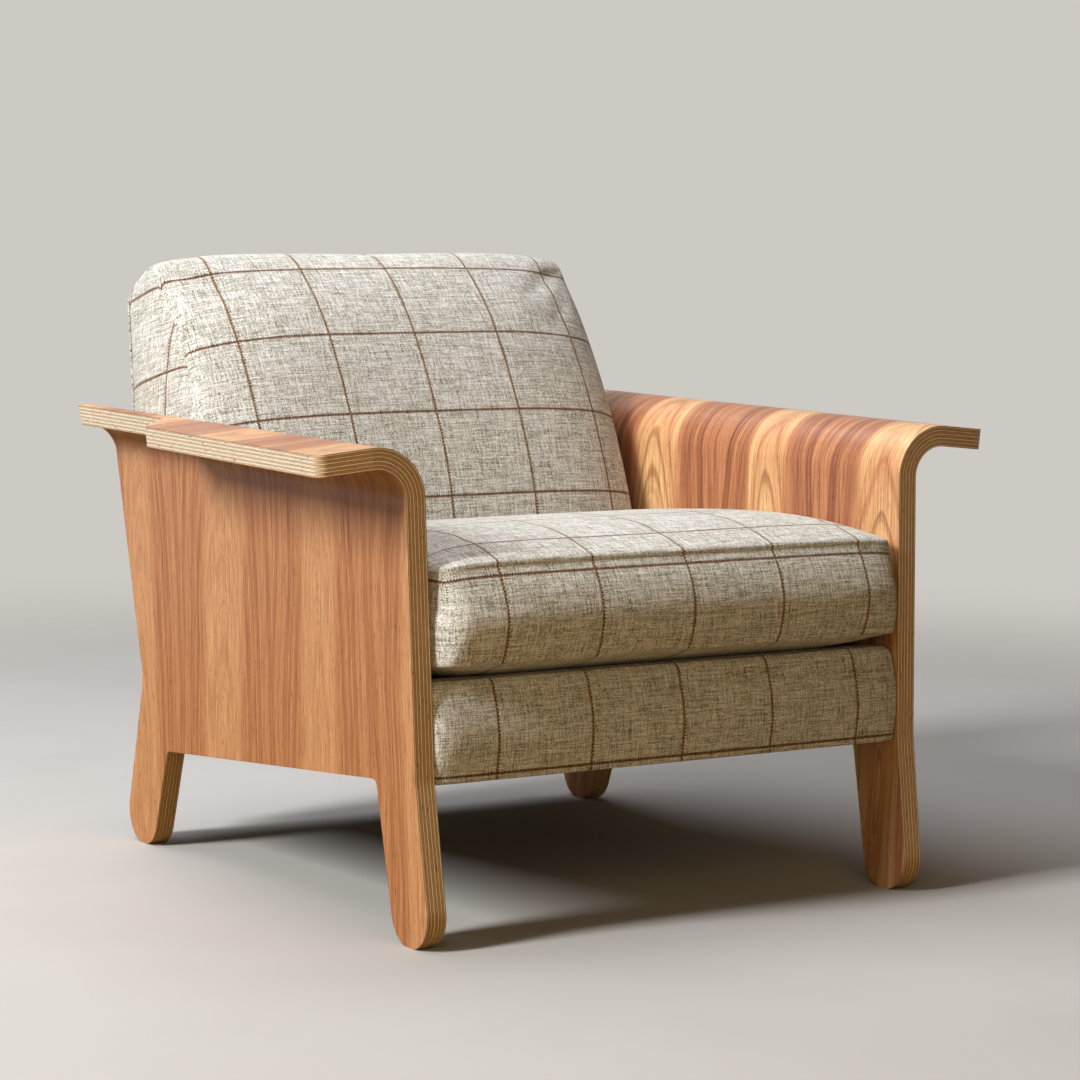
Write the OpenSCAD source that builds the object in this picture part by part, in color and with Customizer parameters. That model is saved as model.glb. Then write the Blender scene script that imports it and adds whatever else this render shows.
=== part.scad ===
/* [Side panels] */
// Thickness of the moulded plywood side
board_t = 24; // [18:1:30]
// Clear width between the two sides at the floor
inner_w = 614; // [560:1:680]
// Height of the arm's top
arm_h = 542; // [500:1:580]
// Inside radius of the bend from side to arm
bend_r = 35; // [28:1:45]
// Depth of the side between its front and rear waists
waist_d = 673; // [640:1:700]
// Width of the arm beyond the bend at its front
arm_reach = 64; // [50:1:80]
// Width of the arm beyond the bend just before its step
arm_reach_mid = 54; // [40:1:62]
// Width of the arm beyond the bend just behind its step
arm_reach_rear = 7; // [4:1:12]
// Distance from the arm's front to its step
arm_wide_l = 440; // [380:1:480]
// Length of the sloping step in the arm
arm_step_l = 52; // [40:1:70]
// Radius of the arm's front outer corner
arm_corner_r = 12; // [6:1:20]
// Radius of a foot's round end
foot_r = 39; // [34:1:44]
// Distance between the centres of the front and rear feet
foot_pitch = 664; // [620:1:700]
// Height of the side's lower edge behind the front leg
crotch_front_h = 174; // [165:1:185]
// Height of the side's lower edge before the rear leg
crotch_rear_h = 126; // [115:1:135]
// Height of the front waist, where leg and side meet
waist_front_h = 182; // [176:1:195]
// Height of the rear waist
waist_rear_h = 208; // [195:1:225]
// Gap between the front and rear legs at the side's lower edge
leg_gap = 522; // [480:1:550]

/* [Seat base] */
// Height of the base's front hem over the floor
base_front_h = 177; // [165:1:190]
// Height of the seat rails
rail_h = 84; // [70:1:86]
// Thickness of the seat rails
rail_t = 28; // [22:1:34]
// Thickness of the webbing straps
web_t = 2; // [1.5:0.5:3]
// Width of the webbing straps
web_w = 60; // [50:5:70]
// Thickness of the deck pad over the webbing
pad_t = 14; // [10:1:18]
// Thickness of the deck cloth
deck_t = 1.5; // [1:0.5:2]
// Thickness of the upholstery fabric with its lining
cover_t = 3; // [2:0.5:4]
// Thickness of the padding on the front rail
front_pad_t = 12; // [8:1:16]
// Radius of the base's padded top edge
base_edge_r = 14; // [8:1:18]

/* [Seat cushion] */
// Depth of the seat cushion between its seams
cushion_d = 482; // [460:1:490]
// Height of the cushion's boxing
boxing_h = 105; // [90:1:115]
// Crown of the cushion's top
crown_h = 49; // [30:1:60]
// Crown of the cushion's underside
under_h = 15; // [8:1:20]
// Bulge of the boxing at the front
front_bulge = 19; // [8:1:24]
// Radius of the cushion's corners in plan
cushion_r = 34; // [20:1:50]
// Clearance between the cushion and each side
side_gap = 0.8; // [0.5:0.1:3]

/* [Back] */
// Length of the back's upright frame
back_l = 590; // [560:1:620]
// Greatest thickness of the back at its sides
back_t = 246; // [225:1:260]
// Crown of the back's front over its side seams
back_crown = 39; // [25:1:50]
// Clearance beside the back, measured from the sides at the floor
back_side_gap = 7; // [4:0.5:20]
// Room between the cushion and the foot of the back
back_room = 23; // [18:1:40]
// Thickness of the back's posts and rails
post_t = 25; // [20:1:32]
// Depth of the back's posts and height of its rails
post_w = 45; // [38:1:55]

/* [Fasteners] */
// Radius of the panel bolts
bolt_r = 3; // [2.5:0.5:4]
// Outside radius of the threaded inserts
insert_r = 5; // [4.5:0.5:6]
// Length of the threaded inserts
insert_l = 14; // [10:1:16]

/* [Hidden] */
$fn = 64;

// Angles of the moulded sides, the seat and the back
side_lean = 1.1;
arm_droop = 5.9;
front_edge_lean = 2.5;
rear_edge_lean = 13;
seat_rake = 5;
back_rake = 6.5;

// Overrun of every cut, and the clearance around soft and fitted pieces
over = 1;
fit_gap = 0.3;

// How far a round runs past the straight faces that it joins, and where it is cut
seam_ease = 0.04;
lap_inner_share = 0.6;
lap_outer_share = 1.5;

// Places along the depth, with the middle of the whole chair at zero
front_foot_y = -372;
rear_foot_y = front_foot_y + foot_pitch;
side_front_y = -397;
bend_z = arm_h - board_t - bend_r;
arm_front_y = side_front_y + bend_z * tan(front_edge_lean);
waist_front_y = side_front_y + waist_front_h * tan(front_edge_lean);
waist_rear_y = waist_front_y + waist_d;
crotch_front_y = -303;
crotch_rear_y = crotch_front_y + leg_gap;
foot_flat = 0.9;
foot_z = foot_r - foot_flat;
crotch_r = 9;
waist_r = 70;
arm_sweep = 5;
arm_span = arm_h + bend_r + board_t;

// The seat base starts at its front hem, and the back at the foot of its rear face
base_y = -392;
cushion_front = -11;
base_d = cushion_front + cushion_d + back_t + back_room;
rail_start = cover_t + front_pad_t + fit_gap;
rail_lift = 8;
rail_top = rail_lift + rail_h;
deck_h = rail_top + 2 * web_t + pad_t + deck_t;
back_w = inner_w - 2 * back_side_gap;
back_lift = 4;
back_y = base_y + base_d;
back_z = base_front_h - base_d * tan(seat_rake) + back_lift;

// Cushion sizes in the raked seat's own directions
cushion_low = deck_h + under_h + fit_gap;
cushion_half_w = inner_w / 2 + base_front_h * tan(side_lean);
boxing_bulge = 5;
cushion_half_d = cushion_d / 2;
core_wall = 22;
core_l = cushion_d - 2 * core_wall;

// Facets of the padded forms
side_points = 8;
arc_points = 4;

// Points of a circle's arc about a centre
function arc(centre, radius, start, end, steps) =
    [for (i = [0:steps]) let(a = start + (end - start) * i / steps)
        centre + radius * [cos(a), sin(a)]];

// Point where a line from a place outside touches a circle
function tangent_point(place, centre, radius, turn) =
    let(d = place - centre, a = acos(radius / norm(d)), b = atan2(d.y, d.x))
        centre + radius * [cos(b + turn * a), sin(b + turn * a)];

// Half the length over which a slightly larger round stands proud of its tangent
function seam_reach(radius) = sqrt(pow(radius + seam_ease, 2) - pow(radius, 2));

// Point turned about the origin
function turned(place, angle) =
    [place.x * cos(angle) - place.y * sin(angle), place.x * sin(angle) + place.y * cos(angle)];

// Outline whose corners, given as [point, radius], are rounded
function rounded(corners, steps = 6) =
    [for (i = [0:len(corners) - 1])
        let(p = corners[i][0],
            a = corners[(i + len(corners) - 1) % len(corners)][0],
            b = corners[(i + 1) % len(corners)][0],
            u = (a - p) / norm(a - p),
            v = (b - p) / norm(b - p),
            half = acos(u * v) / 2,
            r = corners[i][1],
            mid = (u + v) / norm(u + v),
            centre = p + mid * r / sin(half),
            from = p + u * r / tan(half) - centre,
            turn = cross(u, v) > 0 ? -1 : 1,
            sweep = 180 - 2 * half)
        each r == 0 ? [p] : [for (k = [0:steps]) let(t = turn * sweep * k / steps)
            centre + [from.x * cos(t) - from.y * sin(t), from.x * sin(t) + from.y * cos(t)]]];

// Closed smooth curve through points
function smooth_loop(points, steps) =
    let(n = len(points))
    [for (i = [0:n - 1], k = [0:steps - 1])
        let(t = k / steps, a = points[(i + n - 1) % n], b = points[i],
            c = points[(i + 1) % n], d = points[(i + 2) % n])
        (2 * b + (c - a) * t + (2 * a - 5 * b + 4 * c - d) * t * t
            + (3 * b - a - 3 * c + d) * t * t * t) / 2];

// Solid skin over rings of equal length, closed by a point at each end
module skin(rings, first, last) {
    n = len(rings[0]);
    m = len(rings);
    points = concat([for (ring = rings) each ring], [first, last]);
    walls = [for (j = [0:m - 2], i = [0:n - 1])
        let(a = j * n + i, b = j * n + (i + 1) % n, c = a + n, d = b + n)
        each [[a, c, d], [a, d, b]]];
    lids = [for (i = [0:n - 1]) each
        [[n * m, i, (i + 1) % n], [n * m + 1, (m - 1) * n + (i + 1) % n, (m - 1) * n + i]]];
    polyhedron(points, concat(walls, lids));
}

// Mirrors a piece of the right side to the left
module on_side(side) {
    if (side < 0) mirror([1, 0, 0]) children();
    else children();
}

// Extrudes an outline drawn as depth and height across the width
module across(half_w) {
    rotate([90, 0, 90]) translate([0, 0, -half_w]) linear_extrude(2 * half_w) children();
}

// Frame of a leaning side: x through the board from its inner face, z up along it
module side_frame() {
    translate([inner_w / 2, 0, 0]) rotate([0, side_lean, 0]) children();
}

// Frame of the raked seat, from its front hem
module seat_frame() {
    translate([0, base_y, base_front_h]) rotate([-seat_rake, 0, 0]) children();
}

// Frame of the raked back, from the foot of its rear face
module back_frame() {
    translate([0, back_y, back_z]) rotate([-back_rake, 0, 0]) children();
}

// Space between the leaning sides, less an inset on each side
module between_sides(inset) {
    foot_x = inner_w / 2 - inset;
    top_x = foot_x + arm_h * tan(side_lean);
    rotate([90, 0, 0]) translate([0, 0, -2 * base_d]) linear_extrude(4 * base_d)
        polygon([[-foot_x, 0], [foot_x, 0], [top_x, arm_h], [-top_x, arm_h]]);
}

// Space in front of a plane that lies an inset before the back's rear face
module before_back(inset) {
    back_frame() translate([-inner_w, -2 * base_d - inset, -base_d])
        cube([2 * inner_w, 2 * base_d, 3 * base_d]);
}

// Section of the moulded board: side, bend and drooping arm. The bend is a hair larger
// than a tangent round, so its circles cross the straight faces instead of grazing them.
module board_section() {
    droop = arm_droop - side_lean;
    outer_r = bend_r + board_t;
    centre = [outer_r, bend_z];
    lap = (seam_reach(outer_r) + seam_reach(bend_r)) / 2;
    arm_end = turned([lap_inner_share * lap, bend_r], -droop);
    arm_far = turned([lap_outer_share * lap, outer_r], -droop);
    side_end = [-bend_r, -lap_inner_share * lap];
    side_far = [-outer_r, -lap_outer_share * lap];
    reach = 2;
    translate([0, -over]) square([board_t, centre.y + over + lap]);
    translate(centre) intersection() {
        difference() {
            circle(outer_r + seam_ease, $fn = 128);
            circle(bend_r + seam_ease, $fn = 128);
        }
        polygon([side_end / reach, side_end + (side_far - side_end) * reach,
            [-arm_span, arm_span], arm_end + (arm_far - arm_end) * reach, arm_end / reach]);
    }
    translate(centre) rotate(-droop) translate([-lap, bend_r])
        square([arm_reach + over + lap, board_t]);
}

// Side view of the panel with its two legs
module side_outline() {
    rear_lean = tan(rear_edge_lean);
    sole_r = foot_r - seam_ease;
    front_foot = [front_foot_y, foot_z];
    rear_foot = [rear_foot_y, foot_z];
    waist_front = [waist_front_y, waist_front_h];
    waist_rear = [waist_rear_y, waist_rear_h];
    crotch_front = [crotch_front_y, crotch_front_h];
    crotch_rear = [crotch_rear_y, crotch_rear_h];
    polygon(rounded([
        [[arm_front_y, arm_span], 0],
        [[arm_front_y, bend_z], 0],
        [waist_front, waist_r],
        [tangent_point(waist_front, front_foot, sole_r, 1), 0],
        [tangent_point(crotch_front, front_foot, sole_r, -1), 0],
        [crotch_front, crotch_r],
        [crotch_rear, crotch_r],
        [tangent_point(crotch_rear, rear_foot, sole_r, 1), 0],
        [tangent_point(waist_rear, rear_foot, sole_r, -1), 0],
        [waist_rear, waist_r],
        [[waist_rear_y + (arm_span - waist_rear_h) * rear_lean, arm_span], 0]]));
    translate(front_foot) circle(foot_r, $fn = 96);
    translate(rear_foot) circle(foot_r, $fn = 96);
}

// What is cut from the arm in plan, beyond its stepped outer edge
module arm_cut() {
    step_y = arm_front_y + arm_wide_l;
    rear_y = waist_rear_y + base_d;
    outer_x = 2 * arm_reach;
    polygon(rounded([
        [[0, arm_front_y - over], 0],
        [[0, arm_front_y], 0],
        [[arm_reach, arm_front_y + arm_sweep], arm_corner_r],
        [[arm_reach_mid, step_y], 0],
        [[arm_reach_rear, step_y + arm_step_l], 0],
        [[arm_reach_rear - arm_step_l / 4, rear_y], 0],
        [[outer_x, rear_y], 0],
        [[outer_x, arm_front_y - over], 0]]));
}

// Places of the bolts in the side, as depth along the rail and height on it
bolt_inset_share = 0.2;
bolt_low_share = 0.28;
function bolt_places() = [for (s = [bolt_inset_share, 1 - bolt_inset_share],
    h = [bolt_low_share, 1 - bolt_low_share])
    let(d = s * base_d, w = rail_lift + h * rail_h)
    [base_y + d * cos(seat_rake) + w * sin(seat_rake),
        base_front_h - d * sin(seat_rake) + w * cos(seat_rake)]];

module at_bolts() {
    for (p = bolt_places()) translate([0, p.x, p.y]) rotate([0, 90, 0]) children();
}

module side_panel(side) {
    on_side(side) difference() {
        side_frame() difference() {
            intersection() {
                rotate([90, 0, 0]) translate([0, 0, -2 * base_d])
                    linear_extrude(4 * base_d) board_section();
                rotate([90, 0, 90]) translate([0, 0, -over])
                    linear_extrude(arm_h) side_outline();
            }
            translate([board_t + bend_r, 0, bend_z])
                rotate([0, arm_droop - side_lean, 0])
                linear_extrude(bend_r + board_t + over) arm_cut();
            at_bolts()
                translate([0, 0, -over]) cylinder(h = insert_l + over + fit_gap, r = insert_r);
        }
        translate([-base_d, -base_d, -2 * foot_r]) cube([2 * base_d, 2 * base_d, 2 * foot_r]);
    }
}

module left_side_panel() { color("peru") side_panel(-1); }
module right_side_panel() { color("peru") side_panel(1); }

// Rails of the seat, between the sides, which stop short of the rear panel
rail_end_gap = 15;
module seat_rail(side) {
    color("burlywood") difference() {
        intersection() {
            seat_frame() translate([side < 0 ? -inner_w : 0, rail_start, rail_lift])
                cube([inner_w, base_d, rail_h + web_t]);
            between_sides(0);
            before_back(cover_t + rail_end_gap);
        }
        between_sides(rail_t);
        on_side(side) side_frame() at_bolts()
            translate([0, 0, -2 * rail_t]) cylinder(h = 4 * rail_t, r = bolt_r + fit_gap);
    }
}

module left_seat_rail() { seat_rail(-1); }
module right_seat_rail() { seat_rail(1); }

module front_seat_rail() {
    color("burlywood") intersection() {
        seat_frame() translate([-inner_w, rail_start, cover_t + fit_gap])
            cube([2 * inner_w, rail_t, rail_top - cover_t - fit_gap]);
        between_sides(rail_t);
    }
}

module rear_seat_rail() {
    color("burlywood") difference() {
        intersection() {
            seat_frame() translate([-inner_w, 0, rail_lift]) cube([2 * inner_w, 2 * base_d, rail_h]);
            between_sides(rail_t);
            before_back(cover_t);
        }
        before_back(cover_t + rail_t);
    }
}

// Three-cornered blocks glued into the corners of the seat frame
block_leg = 60;
module corner_blocks() {
    rear_d = norm([back_y - base_y, base_front_h - back_z]) - 2 * rail_t;
    color("tan") intersection() {
        seat_frame() for (side = [-1, 1]) on_side(side)
            translate([inner_w / 2, 0, rail_lift]) linear_extrude(rail_h - block_leg / 3) {
                translate([0, rail_start + rail_t])
                    polygon([[0, 0], [-rail_t - block_leg, 0], [-rail_t, block_leg], [0, block_leg]]);
                translate([0, rear_d])
                    polygon([[0, -block_leg], [-rail_t, -block_leg],
                        [-rail_t - block_leg, 0], [-rail_t - block_leg, rail_t + block_leg],
                        [0, rail_t + block_leg]]);
            }
        between_sides(rail_t);
        before_back(cover_t + rail_t);
    }
}

strap_count = 5;
module seat_webbing_long() {
    pitch = (inner_w - 2 * rail_t) / strap_count;
    color("dimgray") intersection() {
        seat_frame() for (i = [0:strap_count - 1])
            translate([(i - (strap_count - 1) / 2) * pitch - web_w / 2, rail_start, rail_top])
                cube([web_w, base_d, web_t]);
        before_back(cover_t);
    }
}

module seat_webbing_cross() {
    first = rail_start + 2 * rail_t;
    pitch = (base_d - post_w - 4 * rail_t - first) / strap_count;
    color("dimgray") intersection() {
        seat_frame() for (i = [0:strap_count - 1])
            translate([-inner_w, first + (i + 1 / 2) * pitch - web_w / 2, rail_top + web_t])
                cube([2 * inner_w, web_w, web_t]);
        between_sides(rail_t / 2);
    }
}

module deck_layer(start, low, thick) {
    intersection() {
        seat_frame() translate([-inner_w, start, low]) cube([2 * inner_w, base_d, thick]);
        between_sides(rail_t / 2);
        before_back(cover_t + post_w + fit_gap);
    }
}

module deck_pad() { color("gainsboro") deck_layer(rail_start, rail_top + 2 * web_t, pad_t); }

cover_return = 55;
hem_return = 40;
module deck_cloth() {
    color("black") deck_layer(cover_return + fit_gap, deck_h - deck_t, deck_t);
}

module front_rail_padding() {
    color("gainsboro") intersection() {
        seat_frame() translate([-inner_w, cover_t + fit_gap / 2, rail_lift])
            cube([2 * inner_w, front_pad_t, deck_h - base_edge_r - rail_lift]);
        between_sides(cover_t + fit_gap);
    }
}

// Fabric over the base's front, turned in over the deck and under the rail
module base_front_cover() {
    edge = [base_edge_r, deck_h - base_edge_r];
    color("darkkhaki") intersection() {
        seat_frame() across(inner_w) polygon(concat(
            [[cover_return, deck_h]],
            arc(edge, base_edge_r, 90, 180, 8),
            arc([cover_t, cover_t], cover_t, 180, 270, 4),
            [[hem_return, 0], [hem_return, cover_t], [cover_t, cover_t]],
            arc(edge, base_edge_r - cover_t, 180, 90, 8),
            [[rail_start, deck_h - deck_t], [cover_return, deck_h - deck_t]]));
        between_sides(fit_gap);
        seat_frame() rotate([90, 0, 0]) translate([0, 0, -base_d]) linear_extrude(2 * base_d)
            polygon(rounded([
                [[-inner_w / 2 - base_edge_r / 4, -over], 0],
                [[inner_w / 2 + base_edge_r / 4, -over], 0],
                [[inner_w / 2 + base_edge_r / 4, deck_h], base_edge_r],
                [[-inner_w / 2 - base_edge_r / 4, deck_h], base_edge_r]]));
    }
}

module dust_cover() {
    color("black") intersection() {
        seat_frame() translate([-inner_w, rail_start + rail_t, rail_lift - web_t])
            cube([2 * inner_w, base_d, web_t]);
        between_sides(rail_t / 3);
        before_back(cover_t);
    }
}

// Outline of the seat cushion in plan, a rectangle with round corners
function cushion_outline(half_w, half_d, radius) =
    [for (q = [0:3]) let(a = 90 * q,
            corner = [(q == 1 || q == 2 ? -1 : 1) * (half_w - radius),
                (q > 1 ? -1 : 1) * (half_d - radius)],
            next = q % 2 == 0 ? [-corner.x, corner.y] : [corner.x, -corner.y])
        each concat(
            [for (k = [0:arc_points - 1]) let(t = a + 90 * k / arc_points)
                corner + radius * [cos(t), sin(t)]],
            [for (k = [0:side_points - 1])
                corner + radius * [cos(a + 90), sin(a + 90)] + (next - corner) * k / side_points])];

// Share of the full crown at a place of the cushion, fuller towards the sides
across_power = 10;
along_power = 4;
function crown_share(x_share, y_share) =
    (1 - pow(min(1, abs(x_share)), across_power)) * (1 - pow(min(1, abs(y_share)), along_power));

// How fast the underside reaches its full crown, and how far back the front bulge fades
under_fullness = 1.6;
front_power = 6;
cushion_inset = side_gap + boxing_bulge;
panel_shares = [0.97, 0.9, 0.78, 0.55, 0.3];
boxing_shares = [0, 0.06, 0.25, 0.5, 0.75, 0.94, 1];

module cushion_form() {
    half_w = cushion_half_w - cushion_inset;
    base = cushion_outline(half_w, cushion_half_d, cushion_r);
    top = cushion_low + boxing_h;
    under = [for (i = [len(panel_shares) - 1:-1:0]) let(s = panel_shares[i])
        [for (p = base) [p.x * s, p.y * s,
            cushion_low - under_h * min(1,
                under_fullness * crown_share(p.x * s / half_w, p.y * s / cushion_half_d))]]];
    boxing = [for (s = boxing_shares) let(b = sqrt(1 - pow(2 * s - 1, 2)))
        [for (p = base)
            let(front = p.y < 0 ? pow(-p.y / cushion_half_d, front_power) : 0,
                bulge = boxing_bulge + front * (front_bulge - boxing_bulge))
            [p.x * (1 + b * boxing_bulge / half_w), p.y * (1 + b * bulge / cushion_half_d),
                cushion_low + boxing_h * s]]];
    over_panel = [for (s = panel_shares)
        [for (p = base) [p.x * s, p.y * s,
            top + crown_h * crown_share(p.x * s / half_w, p.y * s / cushion_half_d)]]];
    rings = concat(under, boxing, over_panel);
    skin(rings, [0, 0, cushion_low - under_h], [0, 0, top + crown_h]);
}

module cushion_frame() {
    seat_frame() translate([0, cushion_front + cushion_half_d, 0]) children();
}

module cushion_block(grow) {
    half_w = cushion_half_w - cushion_inset - core_wall + grow;
    cushion_frame() translate([-half_w, -core_l / 2 - grow, cushion_low + cover_t - grow])
        cube([2 * half_w, core_l + 2 * grow, boxing_h - 2 * cover_t + 2 * grow]);
}

module seat_cushion_core() { color("lightyellow") cushion_block(0); }

module seat_cushion_cover() {
    color("beige") difference() {
        cushion_frame() cushion_form();
        cushion_block(fit_gap);
    }
}

// Zip in the rear boxing, and its slider with a pull
zip_l = 440;
zip_w = 22;
zip_t = 1.2;
coil_w = 6;
slider_l = 12;
slider_t = 3;
module zip_frame() {
    cushion_frame() translate([0, cushion_half_d + boxing_bulge, cushion_low + boxing_h / 2])
        children();
}

module cushion_zip() {
    color("gray") zip_frame() {
        translate([-zip_l / 2, 0, -zip_w / 2]) cube([zip_l, zip_t, zip_w]);
        translate([-zip_l / 2, zip_t / 2, -coil_w / 2]) cube([zip_l, zip_t, coil_w]);
    }
}

module zip_slider() {
    color("silver") zip_frame() translate([-zip_l / 2 + slider_l / 2, 0, 0]) {
        difference() {
            translate([0, zip_t + fit_gap, -coil_w]) cube([slider_l, slider_t, 2 * coil_w]);
            translate([-over, zip_t, -coil_w / 2 - fit_gap])
                cube([slider_l + 2 * over, zip_t, coil_w + 2 * fit_gap]);
        }
        translate([slider_l / 2 - coil_w / 2, zip_t + slider_t, -2 * slider_l])
            cube([coil_w, zip_t, 2 * slider_l]);
    }
}

// Back frame: posts on the side rails, with a top and a lower rail
hollow_wall = 20;
post_x = back_w / 2 - hollow_wall - fit_gap;
frame_depth = cover_t + post_w + web_t;
frame_low = 112;
frame_top = 555;
module back_post(side) {
    color("burlywood") on_side(side) intersection() {
        back_frame() translate([post_x - post_t, -cover_t - post_w, 0])
            cube([post_t, post_w, frame_top]);
        seat_frame() translate([0, 0, rail_top]) cube([inner_w, 2 * base_d, back_l]);
    }
}

module left_back_post() { back_post(-1); }
module right_back_post() { back_post(1); }

module back_rail(low) {
    color("burlywood") back_frame() translate([-post_x + post_t, -cover_t - post_w, low])
        cube([2 * (post_x - post_t), post_t, post_w]);
}

module back_top_rail() { back_rail(frame_top - post_w); }
module back_lower_rail() { back_rail(frame_low + post_w / 2); }

back_strap_count = 4;
module back_webbing() {
    first = frame_low + 2 * post_w;
    pitch = (frame_top - post_w - first) / back_strap_count;
    color("dimgray") back_frame() for (i = [0:back_strap_count - 1])
        translate([-post_x, -cover_t - post_w - web_t, first + (i + 1 / 2) * pitch - web_w / 2])
            cube([2 * post_x, web_t, web_w]);
}

// Side outline of the back, as shares of its thickness and length, from its rear foot up
back_shares = [[0, 0.17], [0, 0.45], [0, 0.75], [0, 0.92], [-0.02, 0.955], [-0.13, 0.98],
    [-0.27, 0.999], [-0.35, 0.985], [-0.4, 0.95], [-0.53, 0.868], [-0.672, 0.757],
    [-0.785, 0.645], [-0.886, 0.518], [-0.95, 0.4], [-0.985, 0.28], [-0.985, 0.2],
    [-0.95, 0.16], [-0.5, 0.15]];
// How much of the crown each of those places takes
crown_shares = [0, 0, 0, 0, 0.05, 0.25, 0.4, 0.6, 0.72, 1, 1, 1, 1, 0.9, 0.5, 0.2, 0, 0];
// Stations across the width
station_shares = [-1, -0.975, -0.92, -0.8, -0.6, -0.3, 0, 0.3, 0.6, 0.8, 0.92, 0.975, 1];
// How square the crown is across the width, and where the two side panels are centred
back_power = 2.8;
gusset_middle_share = [-0.45, 0.5];

// Direction out of a loop of points at one of them
function loop_out(points, i) =
    let(n = len(points), t = points[(i + 1) % n] - points[(i + n - 1) % n])
        [t.y, -t.x] / norm(t);

module back_form() {
    loop = smooth_loop([for (i = [0:len(back_shares) - 1])
        [back_shares[i].x * back_t, back_shares[i].y * back_l, crown_shares[i]]], 3);
    flat = [for (p = loop) [p.x, p.y]];
    rings = [for (s = station_shares)
        let(crown = back_crown * (1 - pow(abs(s), back_power)), edge = abs(s) == 1 ? cover_t : 0)
        [for (i = [0:len(flat) - 1])
            let(p = flat[i] + loop_out(flat, i) * (crown * loop[i][2] - edge))
            [s * back_w / 2, p.x, p.y]]];
    mid = [gusset_middle_share.x * back_t, gusset_middle_share.y * back_l];
    end_x = back_w / 2 + cover_t / 3;
    skin(rings, [-end_x, mid.x, mid.y], [end_x, mid.x, mid.y]);
}

// Hollow of the back that holds the frame and the foam, open to the rear and for the posts
hollow_top_share = 0.36;
hollow_low_share = 0.9;
hollow_front_shares = [[0.6, 0.76], [0.86, 0.44], [0.9, 0.3]];
module back_hollow(inset) {
    low = frame_low + hollow_wall + inset;
    high = frame_top + 2 * cover_t - inset;
    back_frame() across(back_w / 2 - hollow_wall - inset) polygon(concat(
        [[base_edge_r, high], [inset - hollow_top_share * back_t, high]],
        [for (s = hollow_front_shares) [inset - s.x * back_t, s.y * back_l]],
        [[inset - hollow_low_share * back_t, low], [inset - frame_depth - fit_gap, low],
            [inset - frame_depth - fit_gap, 0], [base_edge_r, 0]]));
}

module back_cover() {
    color("beige") difference() {
        intersection() {
            back_frame() back_form();
            seat_frame() translate([-inner_w, 0, deck_h + fit_gap])
                cube([2 * inner_w, 2 * base_d, 2 * back_l]);
        }
        back_hollow(0);
    }
}

module back_foam() {
    color("lightyellow") intersection() {
        back_hollow(fit_gap);
        back_frame() translate([-back_w, -frame_depth - fit_gap - back_t, 0])
            cube([2 * back_w, back_t, back_l]);
    }
}

// Flat panel behind the back, wider below where it closes the seat base
module back_outer_panel() {
    color("khaki") {
        back_frame() translate([-post_x, -cover_t, 0]) cube([2 * post_x, cover_t, frame_top]);
        intersection() {
            back_frame() translate([-back_w / 2, -cover_t, 0])
                cube([back_w, cover_t, frame_low - hollow_wall]);
            between_sides(fit_gap);
        }
    }
}

// Bolts from the inside of the rails into inserts in the sides
head_r = 5.5;
head_t = 3.3;
washer_t = 1.6;
module each_side() {
    for (side = [-1, 1]) on_side(side) side_frame() at_bolts() children();
}

module panel_bolts() {
    rail_face = -rail_t * cos(side_lean) - washer_t;
    color("gray") each_side() {
        translate([0, 0, rail_face]) cylinder(h = insert_l - rail_face - washer_t, r = bolt_r);
        translate([0, 0, rail_face - head_t]) cylinder(h = head_t, r = head_r);
    }
}

module bolt_washers() {
    rail_face = -rail_t * cos(side_lean) - washer_t;
    color("silver") each_side() translate([0, 0, rail_face]) difference() {
        cylinder(h = washer_t, r = head_r + washer_t);
        translate([0, 0, -over]) cylinder(h = washer_t + 2 * over, r = bolt_r + fit_gap);
    }
}

module threaded_inserts() {
    color("goldenrod") each_side() difference() {
        cylinder(h = insert_l, r = insert_r);
        translate([0, 0, -over]) cylinder(h = insert_l + 2 * over, r = bolt_r + fit_gap / 6);
    }
}

left_side_panel();
right_side_panel();
left_seat_rail();
right_seat_rail();
front_seat_rail();
rear_seat_rail();
corner_blocks();
seat_webbing_long();
seat_webbing_cross();
deck_pad();
deck_cloth();
front_rail_padding();
base_front_cover();
dust_cover();
seat_cushion_core();
seat_cushion_cover();
cushion_zip();
zip_slider();
left_back_post();
right_back_post();
back_top_rail();
back_lower_rail();
back_webbing();
back_foam();
back_cover();
back_outer_panel();
panel_bolts();
bolt_washers();
threaded_inserts();
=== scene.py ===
# Lounge chair: two bent plywood sides that carry an upholstered seat and back.
# Lengths are metres in the CAD frame, unless a name ends in Mm.
import math
import bmesh
import bpy
import numpy as np
from mathutils import Matrix, Vector
from types import SimpleNamespace


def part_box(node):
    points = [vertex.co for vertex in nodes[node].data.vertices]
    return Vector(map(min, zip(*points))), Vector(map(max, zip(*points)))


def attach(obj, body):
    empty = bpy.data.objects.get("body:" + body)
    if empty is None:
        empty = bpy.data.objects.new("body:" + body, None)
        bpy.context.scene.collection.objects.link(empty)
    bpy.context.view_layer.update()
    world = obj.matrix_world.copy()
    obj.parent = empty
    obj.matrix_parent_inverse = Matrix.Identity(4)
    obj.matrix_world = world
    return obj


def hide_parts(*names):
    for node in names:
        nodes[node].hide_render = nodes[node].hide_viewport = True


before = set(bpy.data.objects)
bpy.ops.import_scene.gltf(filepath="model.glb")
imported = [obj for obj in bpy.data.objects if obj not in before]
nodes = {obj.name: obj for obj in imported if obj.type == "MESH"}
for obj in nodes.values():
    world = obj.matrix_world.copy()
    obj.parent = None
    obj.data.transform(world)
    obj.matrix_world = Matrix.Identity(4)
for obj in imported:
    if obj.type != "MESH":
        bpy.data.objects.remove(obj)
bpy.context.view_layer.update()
print("frame loaded:", len(nodes), "nodes")


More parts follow.
